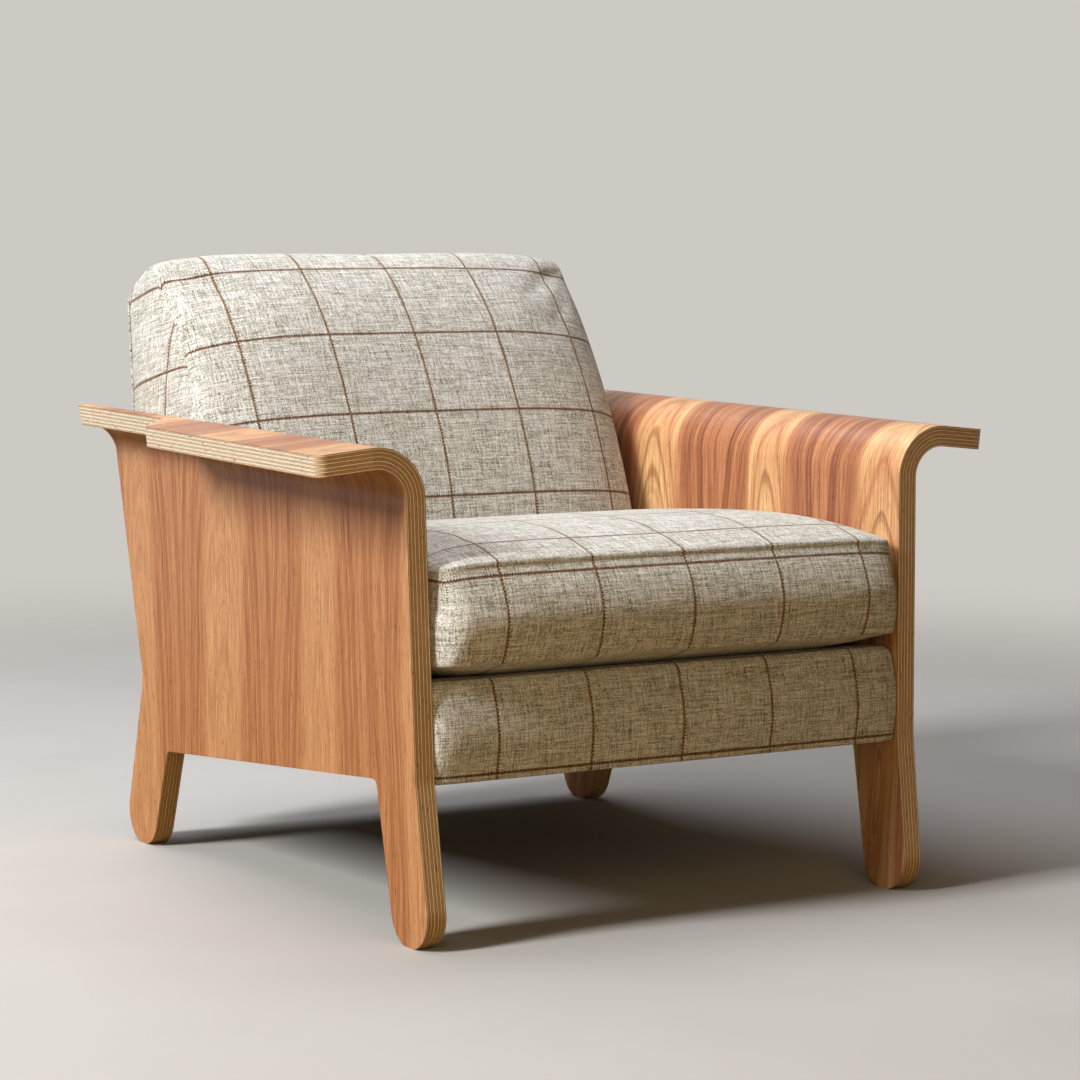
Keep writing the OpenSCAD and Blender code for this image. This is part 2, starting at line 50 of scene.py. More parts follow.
def linear(hexText):  # sRGB hex to linear RGBA
    parts = [int(hexText[i:i + 2], 16) / 255 for i in (1, 3, 5)]
    return [c / 12.92 if c <= 0.04045 else ((c + 0.055) / 1.055) ** 2.4 for c in parts] + [1]


def addNode(tree, kind, feeds=None, stops=None, blend="LINEAR", **settings):
    node = tree.nodes.new(kind)
    for name, value in settings.items():
        setattr(node, name, value)
    for socket, value in (feeds or {}).items():
        if isinstance(value, bpy.types.NodeSocket):
            tree.links.new(value, node.inputs[socket])
        else:
            node.inputs[socket].default_value = linear(value) if isinstance(value, str) else value
    if stops:
        ramp = node.color_ramp
        ramp.interpolation = blend
        while len(ramp.elements) < len(stops):
            ramp.elements.new(0.5)
        for element, (place, hexText) in zip(ramp.elements, stops):
            element.position = place
            element.color = linear(hexText)
    return node


# Adds a node for each row: its name, its kind, what feeds it and its settings. A kind in capitals is the
# operation of a Math node. Feeds come in the order of the sockets or in a dictionary, and a word among them
# is a colour or an earlier row, whose first output counts unless another is named after a dot.
def addRows(tree, known, rows):
    for name, kind, *values in rows:
        settings = values.pop() if len(values) > 1 and isinstance(values[-1], dict) else {}
        feeds = values[0] if values and isinstance(values[0], dict) else dict(enumerate(values))
        for socket, value in feeds.items():
            if isinstance(value, str) and not value.startswith("#"):
                row, *output = value.split(".")
                feeds[socket] = known[row].node.outputs[output[0]] if output else known[row]
        if kind.isupper():
            kind, settings = "Math", {"operation": kind}
        node = addNode(tree, kind if "Node" in kind else "ShaderNode" + kind, feeds, **settings)
        known[name] = next((output for output in node.outputs if output.enabled), None)
    return known


def makeMaterial(name, rows):
    material = bpy.data.materials.new(name)
    material.use_nodes = True
    material.node_tree.nodes.clear()
    known = addRows(material.node_tree, {}, rows)
    addNode(material.node_tree, "ShaderNodeOutputMaterial", {0: known["surface"]})
    return material


mixed = {"data_type": "RGBA"}
multiplied = {"data_type": "RGBA", "blend_type": "MULTIPLY"}

# The moulded board, and where a point lies along, across and through it

board = {
    "thick": 0.024, "innerHalf": 0.307, "lean": math.radians(1.1), "droop": math.radians(4.8),
    "bendAlong": 0.483, "bendOuter": 0.059, "veneer": 0.00055,
}


def turnRows(level, upright, x, z, angle):  # rows that turn a flat place by an angle
    c, s = math.cos(angle), math.sin(angle)
    return [
        (level + "X", "MULTIPLY", x, c),
        (level + "Z", "MULTIPLY", z, s),
        (level, "SUBTRACT", level + "X", level + "Z"),
        (upright + "X", "MULTIPLY", x, s),
        (upright + "Z", "MULTIPLY", z, c),
        (upright, "ADD", upright + "X", upright + "Z"),
    ]


def boardPlaceGroup():
    group = bpy.data.node_groups.new("Place in the moulded board", "ShaderNodeTree")
    group.interface.new_socket("Place", in_out="INPUT", socket_type="NodeSocketVector")
    for name in ("Along", "Across", "Depth", "Side"):
        group.interface.new_socket(name, in_out="OUTPUT", socket_type="NodeSocketFloat")
    outer, bend = board["bendOuter"], board["bendAlong"]
    addRows(group, {}, [
        ("start", "NodeGroupInput"),
        ("place", "SeparateXYZ", "start"),
        ("side", "SIGN", "place.X"),
        ("fromMiddle", "ABSOLUTE", "place.X"),
        ("out", "SUBTRACT", "fromMiddle", board["innerHalf"]),
        *turnRows("flatDepth", "flatAlong", "out", "place.Z", board["lean"]),
        ("fromAxis", "SUBTRACT", "flatDepth", outer),
        ("aboveAxis", "SUBTRACT", "flatAlong", bend),
        ("outSquared", "MULTIPLY", "fromAxis", "fromAxis"),
        ("upSquared", "MULTIPLY", "aboveAxis", "aboveAxis"),
        ("reachSquared", "ADD", "outSquared", "upSquared"),
        ("reach", "SQRT", "reachSquared"),
        ("bendDepth", "SUBTRACT", outer, "reach"),
        ("inwards", "MULTIPLY", "fromAxis", -1),
        ("turn", "ARCTAN2", "aboveAxis", "inwards"),
        ("turnAlong", "MULTIPLY", "turn", outer),
        ("bendAlong", "ADD", "turnAlong", bend),
        *turnRows("armOut", "lift", "fromAxis", "aboveAxis", board["droop"]),
        ("armAlong", "ADD", "armOut", bend + outer * (math.pi / 2 + board["droop"])),
        ("armDepth", "SUBTRACT", outer, "lift"),
        ("onArm", "GREATER_THAN", "armOut", 0),
        ("onBend", "GREATER_THAN", "aboveAxis", 0),
        ("upperAlong", "Mix", {0: "onArm", 2: "bendAlong", 3: "armAlong"}),
        ("along", "Mix", {0: "onBend", 2: "flatAlong", 3: "upperAlong"}),
        ("upperDepth", "Mix", {0: "onArm", 2: "bendDepth", 3: "armDepth"}),
        ("depth", "Mix", {0: "onBend", 2: "flatDepth", 3: "upperDepth"}),
        ("end", "NodeGroupOutput", {"Along": "along", "Across": "place.Y", "Depth": "depth", "Side": "side"}),
    ])
    return group


veneer = {
    "leafMm": 235, "leafShiftMm": 229, "heartAtMm": 120, "heartHalfMm": (64.0, 50.0), "raggedMm": 26,
    "wanderMm": 60, "ringWanderMm": 36, "coneGrow": 0.15, "coneStartMm": -18, "outsideFiner": 1.2,
    "lineInside": 0.6, "lineOutsideLess": -0.36,
    "inner": [(0.36, "#8f5a3e"), (0.45, "#b07452"), (0.53, "#c0885f"), (0.62, "#d4a475"), (0.72, "#e6bd88")],
    "outer": [(0.36, "#a2673f"), (0.46, "#b87e54"), (0.56, "#c48d61"), (0.68, "#d09c6e")],
    "fibres": [(0.34, "#b5a69c"), (0.5, "#e6ded6"), (0.64, "#ffffff")],
    "lines": [(0.34, "#a17f6c"), (0.42, "#e3d6cd"), (0.48, "#ffffff")],
    "pores": [(0.30, "#6d4630"), (0.38, "#ffffff")],
}
plies = {
    "thickMm": [0.5, 1.1, 2.3, 1.0, 2.5, 1.1, 2.7, 1.2, 2.4, 1.0, 2.3, 1.1, 0.5],
    # side tones are paler, as painted light, and front tones darker and more contrasty, as painted shade; an
    # edge gets one or the other by the way it faces
    "side": {"face": "#8a5a38", "even": "#e6dbc9", "odd": "#cfbb9e", "glue": "#5f4128"},
    "front": {"face": "#7d5230", "even": "#bb8e58", "odd": "#ffeeca", "glue": "#432a12"},
    "grain": [(0.35, "#d2c4ae"), (0.5, "#f4efe6"), (0.65, "#ffffff")],
    "openJoint": "#2d1a0d", "openShare": 0.45,
}


def plyStops(tones):  # ramp through the board's thickness, with a glue line of 0.36 mm between plies
    total, last = board["thick"] * 1000, len(plies["thickMm"]) - 1
    glue = (total - sum(plies["thickMm"])) / last
    stops, depthMm = [], 0.0
    for i, ply in enumerate(plies["thickMm"]):
        stops.append((depthMm / total, tones["face" if i in (0, last) else ("even", "odd")[i % 2]]))
        depthMm += ply
        if i < last:
            stops.append((depthMm / total, tones["glue"]))
            depthMm += glue
    return stops


# Crown-cut teak veneer on both faces of a birch multiplex board, pressed, sanded and matt lacquered:
# warm straight and cathedral figure on the faces, pale plies with thin dark glue lines on every edge.
mouldedPlywood = makeMaterial("Teak-faced moulded birch plywood", [
    ("coords", "TexCoord"),
    ("place", "Group", {"Place": "coords.Object"}, {"node_tree": boardPlaceGroup()}),
    # each face has its own sheet of veneer, so its figure starts somewhere else
    ("outside", "GREATER_THAN", "place.Depth", board["thick"] / 2),
    ("sheet", "MULTIPLY_ADD", "outside", 2.3, "place.Side"),
    ("sheetShift", "MULTIPLY", "sheet", 17.3),
    ("alongMm", "MULTIPLY", "place.Along", 1000),
    ("acrossMm", "MULTIPLY", "place.Across", 1000),
    ("depthMm", "MULTIPLY", "place.Depth", 1000),
    # the grain wanders slowly, by some 12 mm to each side in 450 mm of length
    ("slowAlong", "MULTIPLY", "alongMm", 0.0022),
    ("slowAcross", "MULTIPLY", "acrossMm", 0.009),
    ("wanderAt", "CombineXYZ", "slowAlong", "slowAcross", "sheetShift"),
    ("wander", "TexNoise", {"Vector": "wanderAt", "Scale": 1.0, "Detail": 2.0, "Roughness": 0.45}),
    ("wanderMm", "MULTIPLY_ADD", "wander", veneer["wanderMm"], -veneer["wanderMm"] / 2),
    ("grainMm", "ADD", "acrossMm", "wanderMm"),
    # leaves laid side by side, each with a yellow heart where the knife cut the rings flat
    ("leafPlace", "MULTIPLY_ADD", "sheet", veneer["leafShiftMm"], "grainMm"),
    ("leafCount", "DIVIDE", "leafPlace", veneer["leafMm"]),
    ("leafPart", "FRACT", "leafCount"),
    ("fromHeart", "MULTIPLY_ADD", "leafPart", veneer["leafMm"], -veneer["heartAtMm"]),
    ("coneGrow", "MULTIPLY", "alongMm", veneer["coneGrow"]),
    ("cone", "ADD", "coneGrow", veneer["coneStartMm"]),
    ("heartSquared", "MULTIPLY", "fromHeart", "fromHeart"),
    ("coneSquared", "MULTIPLY", "cone", "cone"),
    ("ringSquared", "ADD", "heartSquared", "coneSquared"),
    ("ring", "SQRT", "ringSquared"),
    ("ringWander", "MULTIPLY_ADD", "wander", veneer["ringWanderMm"], "ring"),
    ("ringFine", "MULTIPLY_ADD", "outside", veneer["outsideFiner"], 1.0),
    ("ringUneven", "MULTIPLY", "ringWander", "ringFine"),
    ("ringDrift", "MULTIPLY", "alongMm", 0.004),
    ("ringAt", "CombineXYZ", "ringUneven", "ringDrift", "sheetShift"),
    ("rings", "TexNoise", {"Vector": "ringAt", "Scale": 0.075, "Detail": 5.0, "Roughness": 0.66}),
    ("lines", "TexNoise", {"Vector": "ringAt", "Scale": 0.34, "Detail": 2.0, "Roughness": 0.6}),
    ("heartReach", "ABSOLUTE", "fromHeart"),
    ("raggedReach", "MULTIPLY_ADD", "rings", veneer["raggedMm"], "heartReach"),
    ("heart", "MapRange", {0: "raggedReach", 1: veneer["heartHalfMm"][0], 2: veneer["heartHalfMm"][1],
                           3: -0.03, 4: 0.14}, {"interpolation_type": "SMOOTHSTEP"}),
    ("ringPart", "MULTIPLY_ADD", "rings", 0.7, 0.15),
    ("figure", "ADD", "ringPart", "heart"),
    # fibres in cells 1.6 mm wide and 80 mm long, and pores in cells 0.9 by 13 mm, as coarse as they show
    ("fibreAlong", "MULTIPLY", "alongMm", 0.02),
    ("fibreAt", "CombineXYZ", "grainMm", "fibreAlong", "sheetShift"),
    ("fibres", "TexNoise", {"Vector": "fibreAt", "Scale": 0.62, "Detail": 3.0, "Roughness": 0.6}),
    ("poreAlong", "MULTIPLY", "alongMm", 0.07),
    ("poreAt", "CombineXYZ", "grainMm", "poreAlong", "sheetShift"),
    ("pores", "TexNoise", {"Vector": "poreAt", "Scale": 1.1, "Detail": 1.0}),
    # outer faces are calmer than the inner ones, whose bands run from cream to purple brown
    ("innerTone", "ValToRGB", "figure", {"stops": veneer["inner"]}),
    ("outerTone", "ValToRGB", "figure", {"stops": veneer["outer"]}),
    ("faceTone", "Mix", {0: "outside", 6: "innerTone", 7: "outerTone"}, mixed),
    ("fibreTone", "ValToRGB", "fibres", {"stops": veneer["fibres"]}),
    ("streaked", "Mix", {0: 0.75, 6: "faceTone", 7: "fibreTone"}, multiplied),
    ("lineTone", "ValToRGB", "lines", {"stops": veneer["lines"]}),
    ("lineStrength", "MULTIPLY_ADD", "outside", veneer["lineOutsideLess"], veneer["lineInside"]),
    ("lined", "Mix", {0: "lineStrength", 6: "streaked", 7: "lineTone"}, multiplied),
    ("poreTone", "ValToRGB", "pores", {"stops": veneer["pores"]}),
    ("veneerTone", "Mix", {0: 0.5, 6: "lined", 7: "poreTone"}, multiplied),
    # ends of fibres look darker, so the plies alternate light and dark; edges that face the front get darker
    # plies and glue lines as painted shade, and edges that face the side get paler plies as painted light
    ("plyShare", "DIVIDE", "depthMm", board["thick"] * 1000),
    ("sideTone", "ValToRGB", "plyShare", {"stops": plyStops(plies["side"]), "blend": "CONSTANT"}),
    ("frontTone", "ValToRGB", "plyShare", {"stops": plyStops(plies["front"]), "blend": "CONSTANT"}),
    ("faces", "NewGeometry"),
    ("facing", "SeparateXYZ", "faces.True Normal"),
    ("facingFront", "ABSOLUTE", "facing.Y"),
    ("plyTone", "Mix", {0: "facingFront", 6: "sideTone", 7: "frontTone"}, mixed),
    ("plyAlong", "MULTIPLY", "alongMm", 0.05),
    ("plyAcross", "MULTIPLY", "acrossMm", 0.05),
    ("plyDepth", "MULTIPLY", "depthMm", 1.1),
    ("plyGrainAt", "CombineXYZ", "plyAlong", "plyAcross", "plyDepth"),
    ("plyGrain", "TexNoise", {"Vector": "plyGrainAt", "Scale": 1.6, "Detail": 4.0}),
    ("plyShade", "ValToRGB", "plyGrain", {"stops": plies["grain"]}),
    ("sawn", "Mix", {0: 0.8, 6: "plyTone", 7: "plyShade"}, multiplied),
    # a few plies have open joints, seen as short dark dashes about 8 mm long
    ("layer", "MULTIPLY", "depthMm", 0.46),
    ("layerIndex", "FLOOR", "layer"),
    ("layerPart", "FRACT", "layer"),
    ("voidAt", "CombineXYZ", "plyAlong", "plyAcross", "layerIndex"),
    ("voidNoise", "TexNoise", {"Vector": "voidAt", "Scale": 2.3, "Detail": 1.0}),
    ("voids", "MapRange", {0: "voidNoise", 1: 0.70, 2: 0.71, 3: 0.0, 4: 0.9}),
    ("voidThin", "LESS_THAN", "layerPart", plies["openShare"]),
    ("voidMark", "MULTIPLY", "voids", "voidThin"),
    ("edgeTone", "Mix", {0: "voidMark", 6: "sawn", 7: plies["openJoint"]}, mixed),
    ("nearInner", "LESS_THAN", "place.Depth", board["veneer"]),
    ("nearOuter", "GREATER_THAN", "place.Depth", board["thick"] - board["veneer"]),
    ("onVeneer", "MAXIMUM", "nearInner", "nearOuter"),
    ("tone", "Mix", {0: "onVeneer", 6: "edgeTone", 7: "veneerTone"}, mixed),
    ("rough", "MapRange", {0: "fibres", 1: 0.25, 2: 0.75, 3: 0.44, 4: 0.34}),
    ("arris", "Bevel", {"Radius": 0.0012}, {"samples": 4}),
    ("bump", "Bump", {"Strength": 0.12, "Distance": 0.0004, "Height": "pores", "Normal": "arris"}),
    ("surface", "BsdfPrincipled", {"Base Color": "tone", "Roughness": "rough", "Normal": "bump",
                                   "Specular IOR Level": 0.4, "Coat Weight": 0.12, "Coat Roughness": 0.3}),
])

check = {
    "across": 120.5, "along": 110.0, "acrossStart": 6.5, "lineMm": 3.2, "yarnMm": 1.05, "sway": 0.45,
    "ground": [(0.50, "#575140"), (0.66, "#938f7b"), (0.80, "#bebcb2"), (0.94, "#dad9d5"), (1.0, "#ecebe9")],
    "warpBrown": [(0.25, "#33240f"), (0.55, "#6e4d22"), (0.95, "#b08448")],
    "weftBrown": [(0.30, "#281808"), (0.60, "#573716"), (1.0, "#a0642c")],
}


# Yarns of one direction: which one a point lies on, how it slubs along its run, and how far the point is from
# a line of the check, whose yarns step from side to side at each crossing, which makes their chain
def yarnRows(yarn, place, run, rowStep, runStep, shift, pitch, start, beadMm):
    return [
        (yarn + "Count", "DIVIDE", place, check["yarnMm"]),
        (yarn + "Index", "FLOOR", yarn + "Count"),
        (yarn + "Part", "FRACT", yarn + "Count"),
        (yarn + "Row", "MULTIPLY", yarn + "Index", rowStep),
        (yarn + "Run", "MULTIPLY", run, runStep),
        (yarn + "At", "CombineXYZ", yarn + "Row", yarn + "Run", shift),
        (yarn + "Tone", "TexNoise", {"Vector": yarn + "At", "Scale": 1.0, "Detail": 1.5, "Roughness": 0.6}),
        (yarn + "Shift", "SUBTRACT", place, start - pitch / 2),
        (yarn + "Wrap", "FLOORED_MODULO", yarn + "Shift", pitch),
        (yarn + "From", "SUBTRACT", yarn + "Wrap", pitch / 2),
        (yarn + "Wave", "MULTIPLY", run, math.tau / beadMm),
        (yarn + "Sine", "SINE", yarn + "Wave"),
        (yarn + "Step", "SIGN", yarn + "Sine"),
        (yarn + "Chain", "MULTIPLY_ADD", yarn + "Step", check["sway"], yarn + "From"),
        (yarn + "Off", "ABSOLUTE", yarn + "Chain"),
        (yarn + "Line", "LESS_THAN", yarn + "Off", check["lineMm"] / 2),
        (yarn + "Turn", "MULTIPLY", yarn + "Part", math.pi),
        (yarn + "Round", "SINE", yarn + "Turn"),
    ]


# Upholstery linen, plain woven from slubby ecru and olive-grey yarns with a brown windowpane:
# a fine light and dark speckle with thin streaks both ways, and a check line that looks like a fine chain.
# Yarn spacing is 0.8 mm in the cloth and drawn at 1.05 mm, as finer than that vanishes in the render.
windowpaneLinen = makeMaterial("Slubby linen with a woven windowpane", [
    ("cloth", "UVMap", {}, {"uv_map": "cloth"}),
    ("flat", "SeparateXYZ", "cloth"),
    ("uMm", "MULTIPLY", "flat.X", 1000),
    ("vMm", "MULTIPLY", "flat.Y", 1000),
    *yarnRows("warp", "uMm", "vMm", 5.37, 0.042, 3.1, check["across"], check["acrossStart"], 4.0),
    *yarnRows("weft", "vMm", "uMm", 7.91, 0.032, 71.7, check["along"], 0, 3.4),
    ("cell", "CombineXYZ", "warpIndex", "weftIndex"),
    ("speck", "TexWhiteNoise", "cell", {"noise_dimensions": "2D"}),
    # the thread on top counts for more, and both show
    ("crossing", "ADD", "warpIndex", "weftIndex"),
    ("warpOver", "PINGPONG", "crossing", 1),
    ("both", "ADD", "warpTone", "weftTone"),
    ("apart", "SUBTRACT", "warpTone", "weftTone"),
    ("overSide", "MULTIPLY_ADD", "warpOver", 0.5, -0.25),
    ("lead", "MULTIPLY", "apart", "overSide"),
    ("threads", "MULTIPLY_ADD", "both", 0.66, "lead"),
    ("shade", "MULTIPLY_ADD", "speck", 0.32, "threads"),
    ("ground", "ValToRGB", "shade", {"stops": check["ground"]}),
    ("warpBeads", "MULTIPLY_ADD", "warpStep", 0.38, "speck"),
    ("weftBeads", "MULTIPLY_ADD", "weftStep", 0.3, "speck"),
    ("warpBrown", "ValToRGB", "warpBeads", {"stops": check["warpBrown"]}),
    ("weftBrown", "ValToRGB", "weftBeads", {"stops": check["weftBrown"]}),
    ("lineTone", "Mix", {0: "weftLine", 6: "warpBrown", 7: "weftBrown"}, mixed),
    ("anyLine", "MAXIMUM", "warpLine", "weftLine"),
    ("lineFill", "MULTIPLY_ADD", "warpTone", -0.5, 1.2),
    ("lineMix", "MULTIPLY", "anyLine", "lineFill"),
    ("tone", "Mix", {0: "lineMix", 6: "ground", 7: "lineTone"}, {**mixed, "clamp_factor": True}),
    # each yarn is round and dives under its neighbour
    ("knot", "MULTIPLY", "warpRound", "weftRound"),
    ("relief", "MULTIPLY_ADD", "shade", 1.2, "knot"),
    ("bump", "Bump", {"Strength": 0.5, "Distance": 0.0005, "Height": "relief"}),
    ("surface", "BsdfPrincipled", {
        "Base Color": "tone", "Roughness": 0.92, "Specular IOR Level": 0.2, "Normal": "bump",
        "Sheen Weight": 0.2, "Sheen Roughness": 0.5, "Sheen Tint": "#fffdf8"}),
])

# Planed birch of the hidden frame: pale and dry, with fine lines that run level
frameBirch = makeMaterial("Planed frame birch", [
    ("coords", "TexCoord"),
    ("stretch", "Mapping", {0: "coords.Object", 3: (28, 28, 260)}),
    ("grain", "TexNoise", {"Vector": "stretch", "Scale": 1.0, "Detail": 4.0}),
    ("tone", "ValToRGB", "grain", {"stops": [(0.3, "#b98f5e"), (0.5, "#d8b684"), (0.7, "#e7cda2")]}),
    ("bump", "Bump", {"Strength": 0.3, "Distance": 0.0004, "Height": "grain"}),
    ("surface", "BsdfPrincipled", {"Base Color": "tone", "Roughness": 0.6, "Normal": "bump"}),
])


# Cloth made plain: woven webbing, black spun lining or zip tape, told apart by thread and colour
def makePlainCloth(name, dark, light, threadMm, rough):
    wave = math.tau * 500 / threadMm
    return makeMaterial(name, [
        ("coords", "TexCoord"),
        ("place", "SeparateXYZ", "coords.Object"),
        ("depth", "SUBTRACT", "place.Y", "place.Z"),
        ("xWave", "MULTIPLY", "place.X", wave),
        ("yWave", "MULTIPLY", "depth", wave),
        ("xSine", "SINE", "xWave"),
        ("ySine", "SINE", "yWave"),
        ("woven", "MULTIPLY", "xSine", "ySine"),
        ("weave", "MULTIPLY_ADD", "woven", 0.25, 0.5),
        ("fuzz", "TexNoise", {"Vector": "coords.Object", "Scale": 900 / threadMm, "Detail": 3.0}),
        ("relief", "Mix", {0: 0.5, 2: "weave", 3: "fuzz"}),
        ("tone", "ValToRGB", "relief", {"stops": [(0.3, dark), (0.65, light)]}),
        ("bump", "Bump", {"Strength": 0.6, "Distance": 0.0005, "Height": "relief"}),
        ("surface", "BsdfPrincipled", {"Base Color": "tone", "Roughness": rough, "Normal": "bump",
                                       "Sheen Weight": 0.15}),
    ])


# Zinc-plated steel or brass from the bar, turned and tumbled: soft shine, faintly smudged
def makeSmallMetal(name, dark, light, rough):
    return makeMaterial(name, [
        ("coords", "TexCoord"),
        ("smudge", "TexNoise", {"Vector": "coords.Object", "Scale": 240.0, "Detail": 3.0}),
        ("tone", "ValToRGB", "smudge", {"stops": [(0.3, dark), (0.7, light)]}),
        ("shine", "MapRange", {0: "smudge", 1: 0.3, 2: 0.7, 3: rough - 0.08, 4: rough + 0.1}),
        ("surface", "BsdfPrincipled", {"Base Color": "tone", "Metallic": 1.0, "Roughness": "shine"}),
    ])


# Nylon monofilament wound into a coil and heat-set: smooth, slightly glassy, dyed to suit the tape
nylonCoil = makeMaterial("Heat-set nylon coil", [
    ("coords", "TexCoord"),
    ("dye", "TexNoise", {"Vector": "coords.Object", "Scale": 180.0, "Detail": 2.0}),
    ("tone", "ValToRGB", "dye", {"stops": [(0.3, "#847b67"), (0.7, "#a59b84")]}),
    ("surface", "BsdfPrincipled", {"Base Color": "tone", "Roughness": 0.28, "Subsurface Weight": 0.1,
                                   "Subsurface Scale": 0.001}),
])
elasticWebbing = makePlainCloth("Woven polypropylene webbing", "#1c1b19", "#4b4740", 1.6, 0.7)
blackLining = makePlainCloth("Black spunbond lining", "#0f0f10", "#2a2a2c", 1.2, 0.9)
zipTape = makePlainCloth("Woven polyester zip tape", "#77705f", "#a49c88", 0.9, 0.8)
zincSteel = makeSmallMetal("Zinc-plated steel", "#8d9194", "#bfc3c6", 0.32)
turnedBrass = makeSmallMetal("Turned brass", "#a07a35", "#cda75c", 0.3)
print("materials made")

dressing = {
    mouldedPlywood: ["left_side_panel", "right_side_panel"],
    frameBirch: ["left_seat_rail", "right_seat_rail", "front_seat_rail", "rear_seat_rail", "corner_blocks",
                 "left_back_post", "right_back_post", "back_top_rail", "back_lower_rail"],
    elasticWebbing: ["seat_webbing_long", "seat_webbing_cross", "back_webbing"],
    zipTape: ["cushion_zip"],
    zincSteel: ["panel_bolts", "bolt_washers", "zip_slider"],
    turnedBrass: ["threaded_inserts"],
}
for material, names in dressing.items():
    for name in names:
        for place in nodes[name].material_slots:
            place.material = material


# Upholstery: panels of cloth as grids with real seams, each point also with its place in the flat cloth

rake = {"seat": math.radians(5), "back": math.radians(6.5)}
base = {"y": -0.392, "z": 0.177, "depth": 0.740}
backFoot = {"y": base["y"] + base["depth"], "z": base["z"] - base["depth"] * math.tan(rake["seat"]) + 0.004}


def raked(points, foot, angle):  # from a raked frame's x, depth and height to the chair's
    points = np.asarray(points, float)
    c, s = math.cos(angle), math.sin(angle)
    y, z = points[:, 1], points[:, 2]
    return np.stack([points[:, 0], foot["y"] + y * c + z * s, foot["z"] - y * s + z * c], 1)


def linkObject(name, data):
    made = bpy.data.objects.new(name, data)
    bpy.context.scene.collection.objects.link(made)
    return made


def makePiece(name, points, faces, cloth, material, creases=None):
    mesh = bpy.data.meshes.new(name)
    mesh.from_pydata([tuple(p) for p in points], [], faces)
    layer = mesh.uv_layers.new(name="cloth")
    layer.data.foreach_set("uv", np.asarray(cloth, np.float32).ravel())
    mesh.materials.append(material)
    if creases:
        values = mesh.attributes.new("crease_edge", "FLOAT", "EDGE")
        marks = mesh.attributes.new("sharp_edge", "BOOLEAN", "EDGE")
        for edge in mesh.edges:
            ends = tuple(sorted(edge.vertices))
            values.data[edge.index].value = creases.get(ends, 0.0)
            marks.data[edge.index].value = ends in creases
    mesh.polygons.foreach_set("use_smooth", [True] * len(mesh.polygons))
    return linkObject(name, mesh)


# Sheet from rows of points of one length. Turn is the order of a face's corners: 0 is a point, 1 the next in
# its row, 2 the one beside that in the row after, and 3 the one beside the first in the row after.
def makeSheet(name, points, wide, turn, place, flatPlace, material, thick):
    corners = (0, 1, wide + 1, wide)
    faces = [[start + corners[k] for k in turn] for row in range(0, len(points) - wide, wide)
             for start in range(row, row + wide - 1)]
    cloth = [flatPlace(p) for face in faces for p in face]
    piece = makePiece(name, raked(points, *place), faces, cloth, material)
    solid = piece.modifiers.new("thickness", "SOLIDIFY")
    solid.thickness = thick
    solid.offset = -1
    return piece


def pointOutwards(piece):
    shape = bmesh.new()
    shape.from_mesh(piece.data)
    bmesh.ops.recalc_face_normals(shape, faces=shape.faces)
    shape.to_mesh(piece.data)
    shape.free()


def applyModifiers(piece):
    shown = piece.evaluated_get(bpy.context.evaluated_depsgraph_get())
    mesh = bpy.data.meshes.new_from_object(shown)
    piece.modifiers.clear()
    old, piece.data = piece.data, mesh
    bpy.data.meshes.remove(old)


def meshPoints(mesh):
    points = np.empty(len(mesh.vertices) * 3, np.float32)
    mesh.vertices.foreach_get("co", points)
    return points.reshape(-1, 3)


stuffing = {
    "quality": 6, "mass": 0.3, "tension_stiffness": 15, "compression_stiffness": 15, "shear_stiffness": 5,
    "bending_stiffness": 0.8, "use_pressure": True, "vertex_group_mass": "seams",
}
stuffingFrames = 20


# Cloth simulation of a stuffed piece: its seams are held and the air inside pushes its panels out.
# No point ends up further from its place than the cap, in metres.
def stuff(piece, held, pressure, cap):
    rest = meshPoints(piece.data)
    seams = piece.vertex_groups.new(name="seams")
    for index, weight in held.items():
        seams.add([index], weight, "REPLACE")
    cloth = piece.modifiers.new("stuffing", "CLOTH")
    for name, value in stuffing.items():
        setattr(cloth.settings, name, value)
    cloth.settings.uniform_pressure_force = pressure
    cloth.settings.effector_weights.gravity = 0
    cloth.collision_settings.use_collision = False
    cloth.point_cache.frame_end = stuffingFrames
    for number in range(1, stuffingFrames + 1):
        bpy.context.scene.frame_set(number)
    shown = piece.evaluated_get(bpy.context.evaluated_depsgraph_get())
    step = meshPoints(shown.data) - rest
    length = np.linalg.norm(step, axis=1, keepdims=True)
    tiny = 1e-9
    scale = np.where(length > tiny, cap * np.tanh(length / cap) / np.maximum(length, tiny), 0)
    piece.modifiers.remove(cloth)
    piece.data.vertices.foreach_set("co", (rest + step * scale).astype(np.float32).ravel())
    piece.data.update()
    print(piece.name, "stuffed: most moved", round(float(length.max()) * 1000, 1), "mm, mean",
          round(float(length.mean()) * 1000, 1), "mm")
    bpy.context.scene.frame_set(1)


def roundCorner(a, b, halfW, halfD, radius):  # square grid place to a place in a rectangle with round corners
    x, y = a * halfW, b * halfD
    p, q = (abs(x) - halfW + radius) / radius, (abs(y) - halfD + radius) / radius
    if p > 0 and q > 0:
        x = math.copysign(halfW - radius + radius * p * math.sqrt(1 - q * q / 2), x)
        y = math.copysign(halfD - radius + radius * q * math.sqrt(1 - p * p / 2), y)
    return x, y


def spread(count, power):  # from -1 to 1, closer together towards both ends
    steps = np.linspace(-1, 1, count + 1)
    return np.sign(steps) * (1 - (1 - np.abs(steps)) ** power)


def outwardOf(loop):  # directions that point out of a loop of flat points, which runs anticlockwise
    tangent = np.roll(loop, -1, 0) - np.roll(loop, 1, 0)
    return np.stack([tangent[:, 1], -tangent[:, 0]], 1) / np.linalg.norm(tangent, axis=1, keepdims=True)


# Loose seat cushion with a boxing between a crowned top and a shallow underside

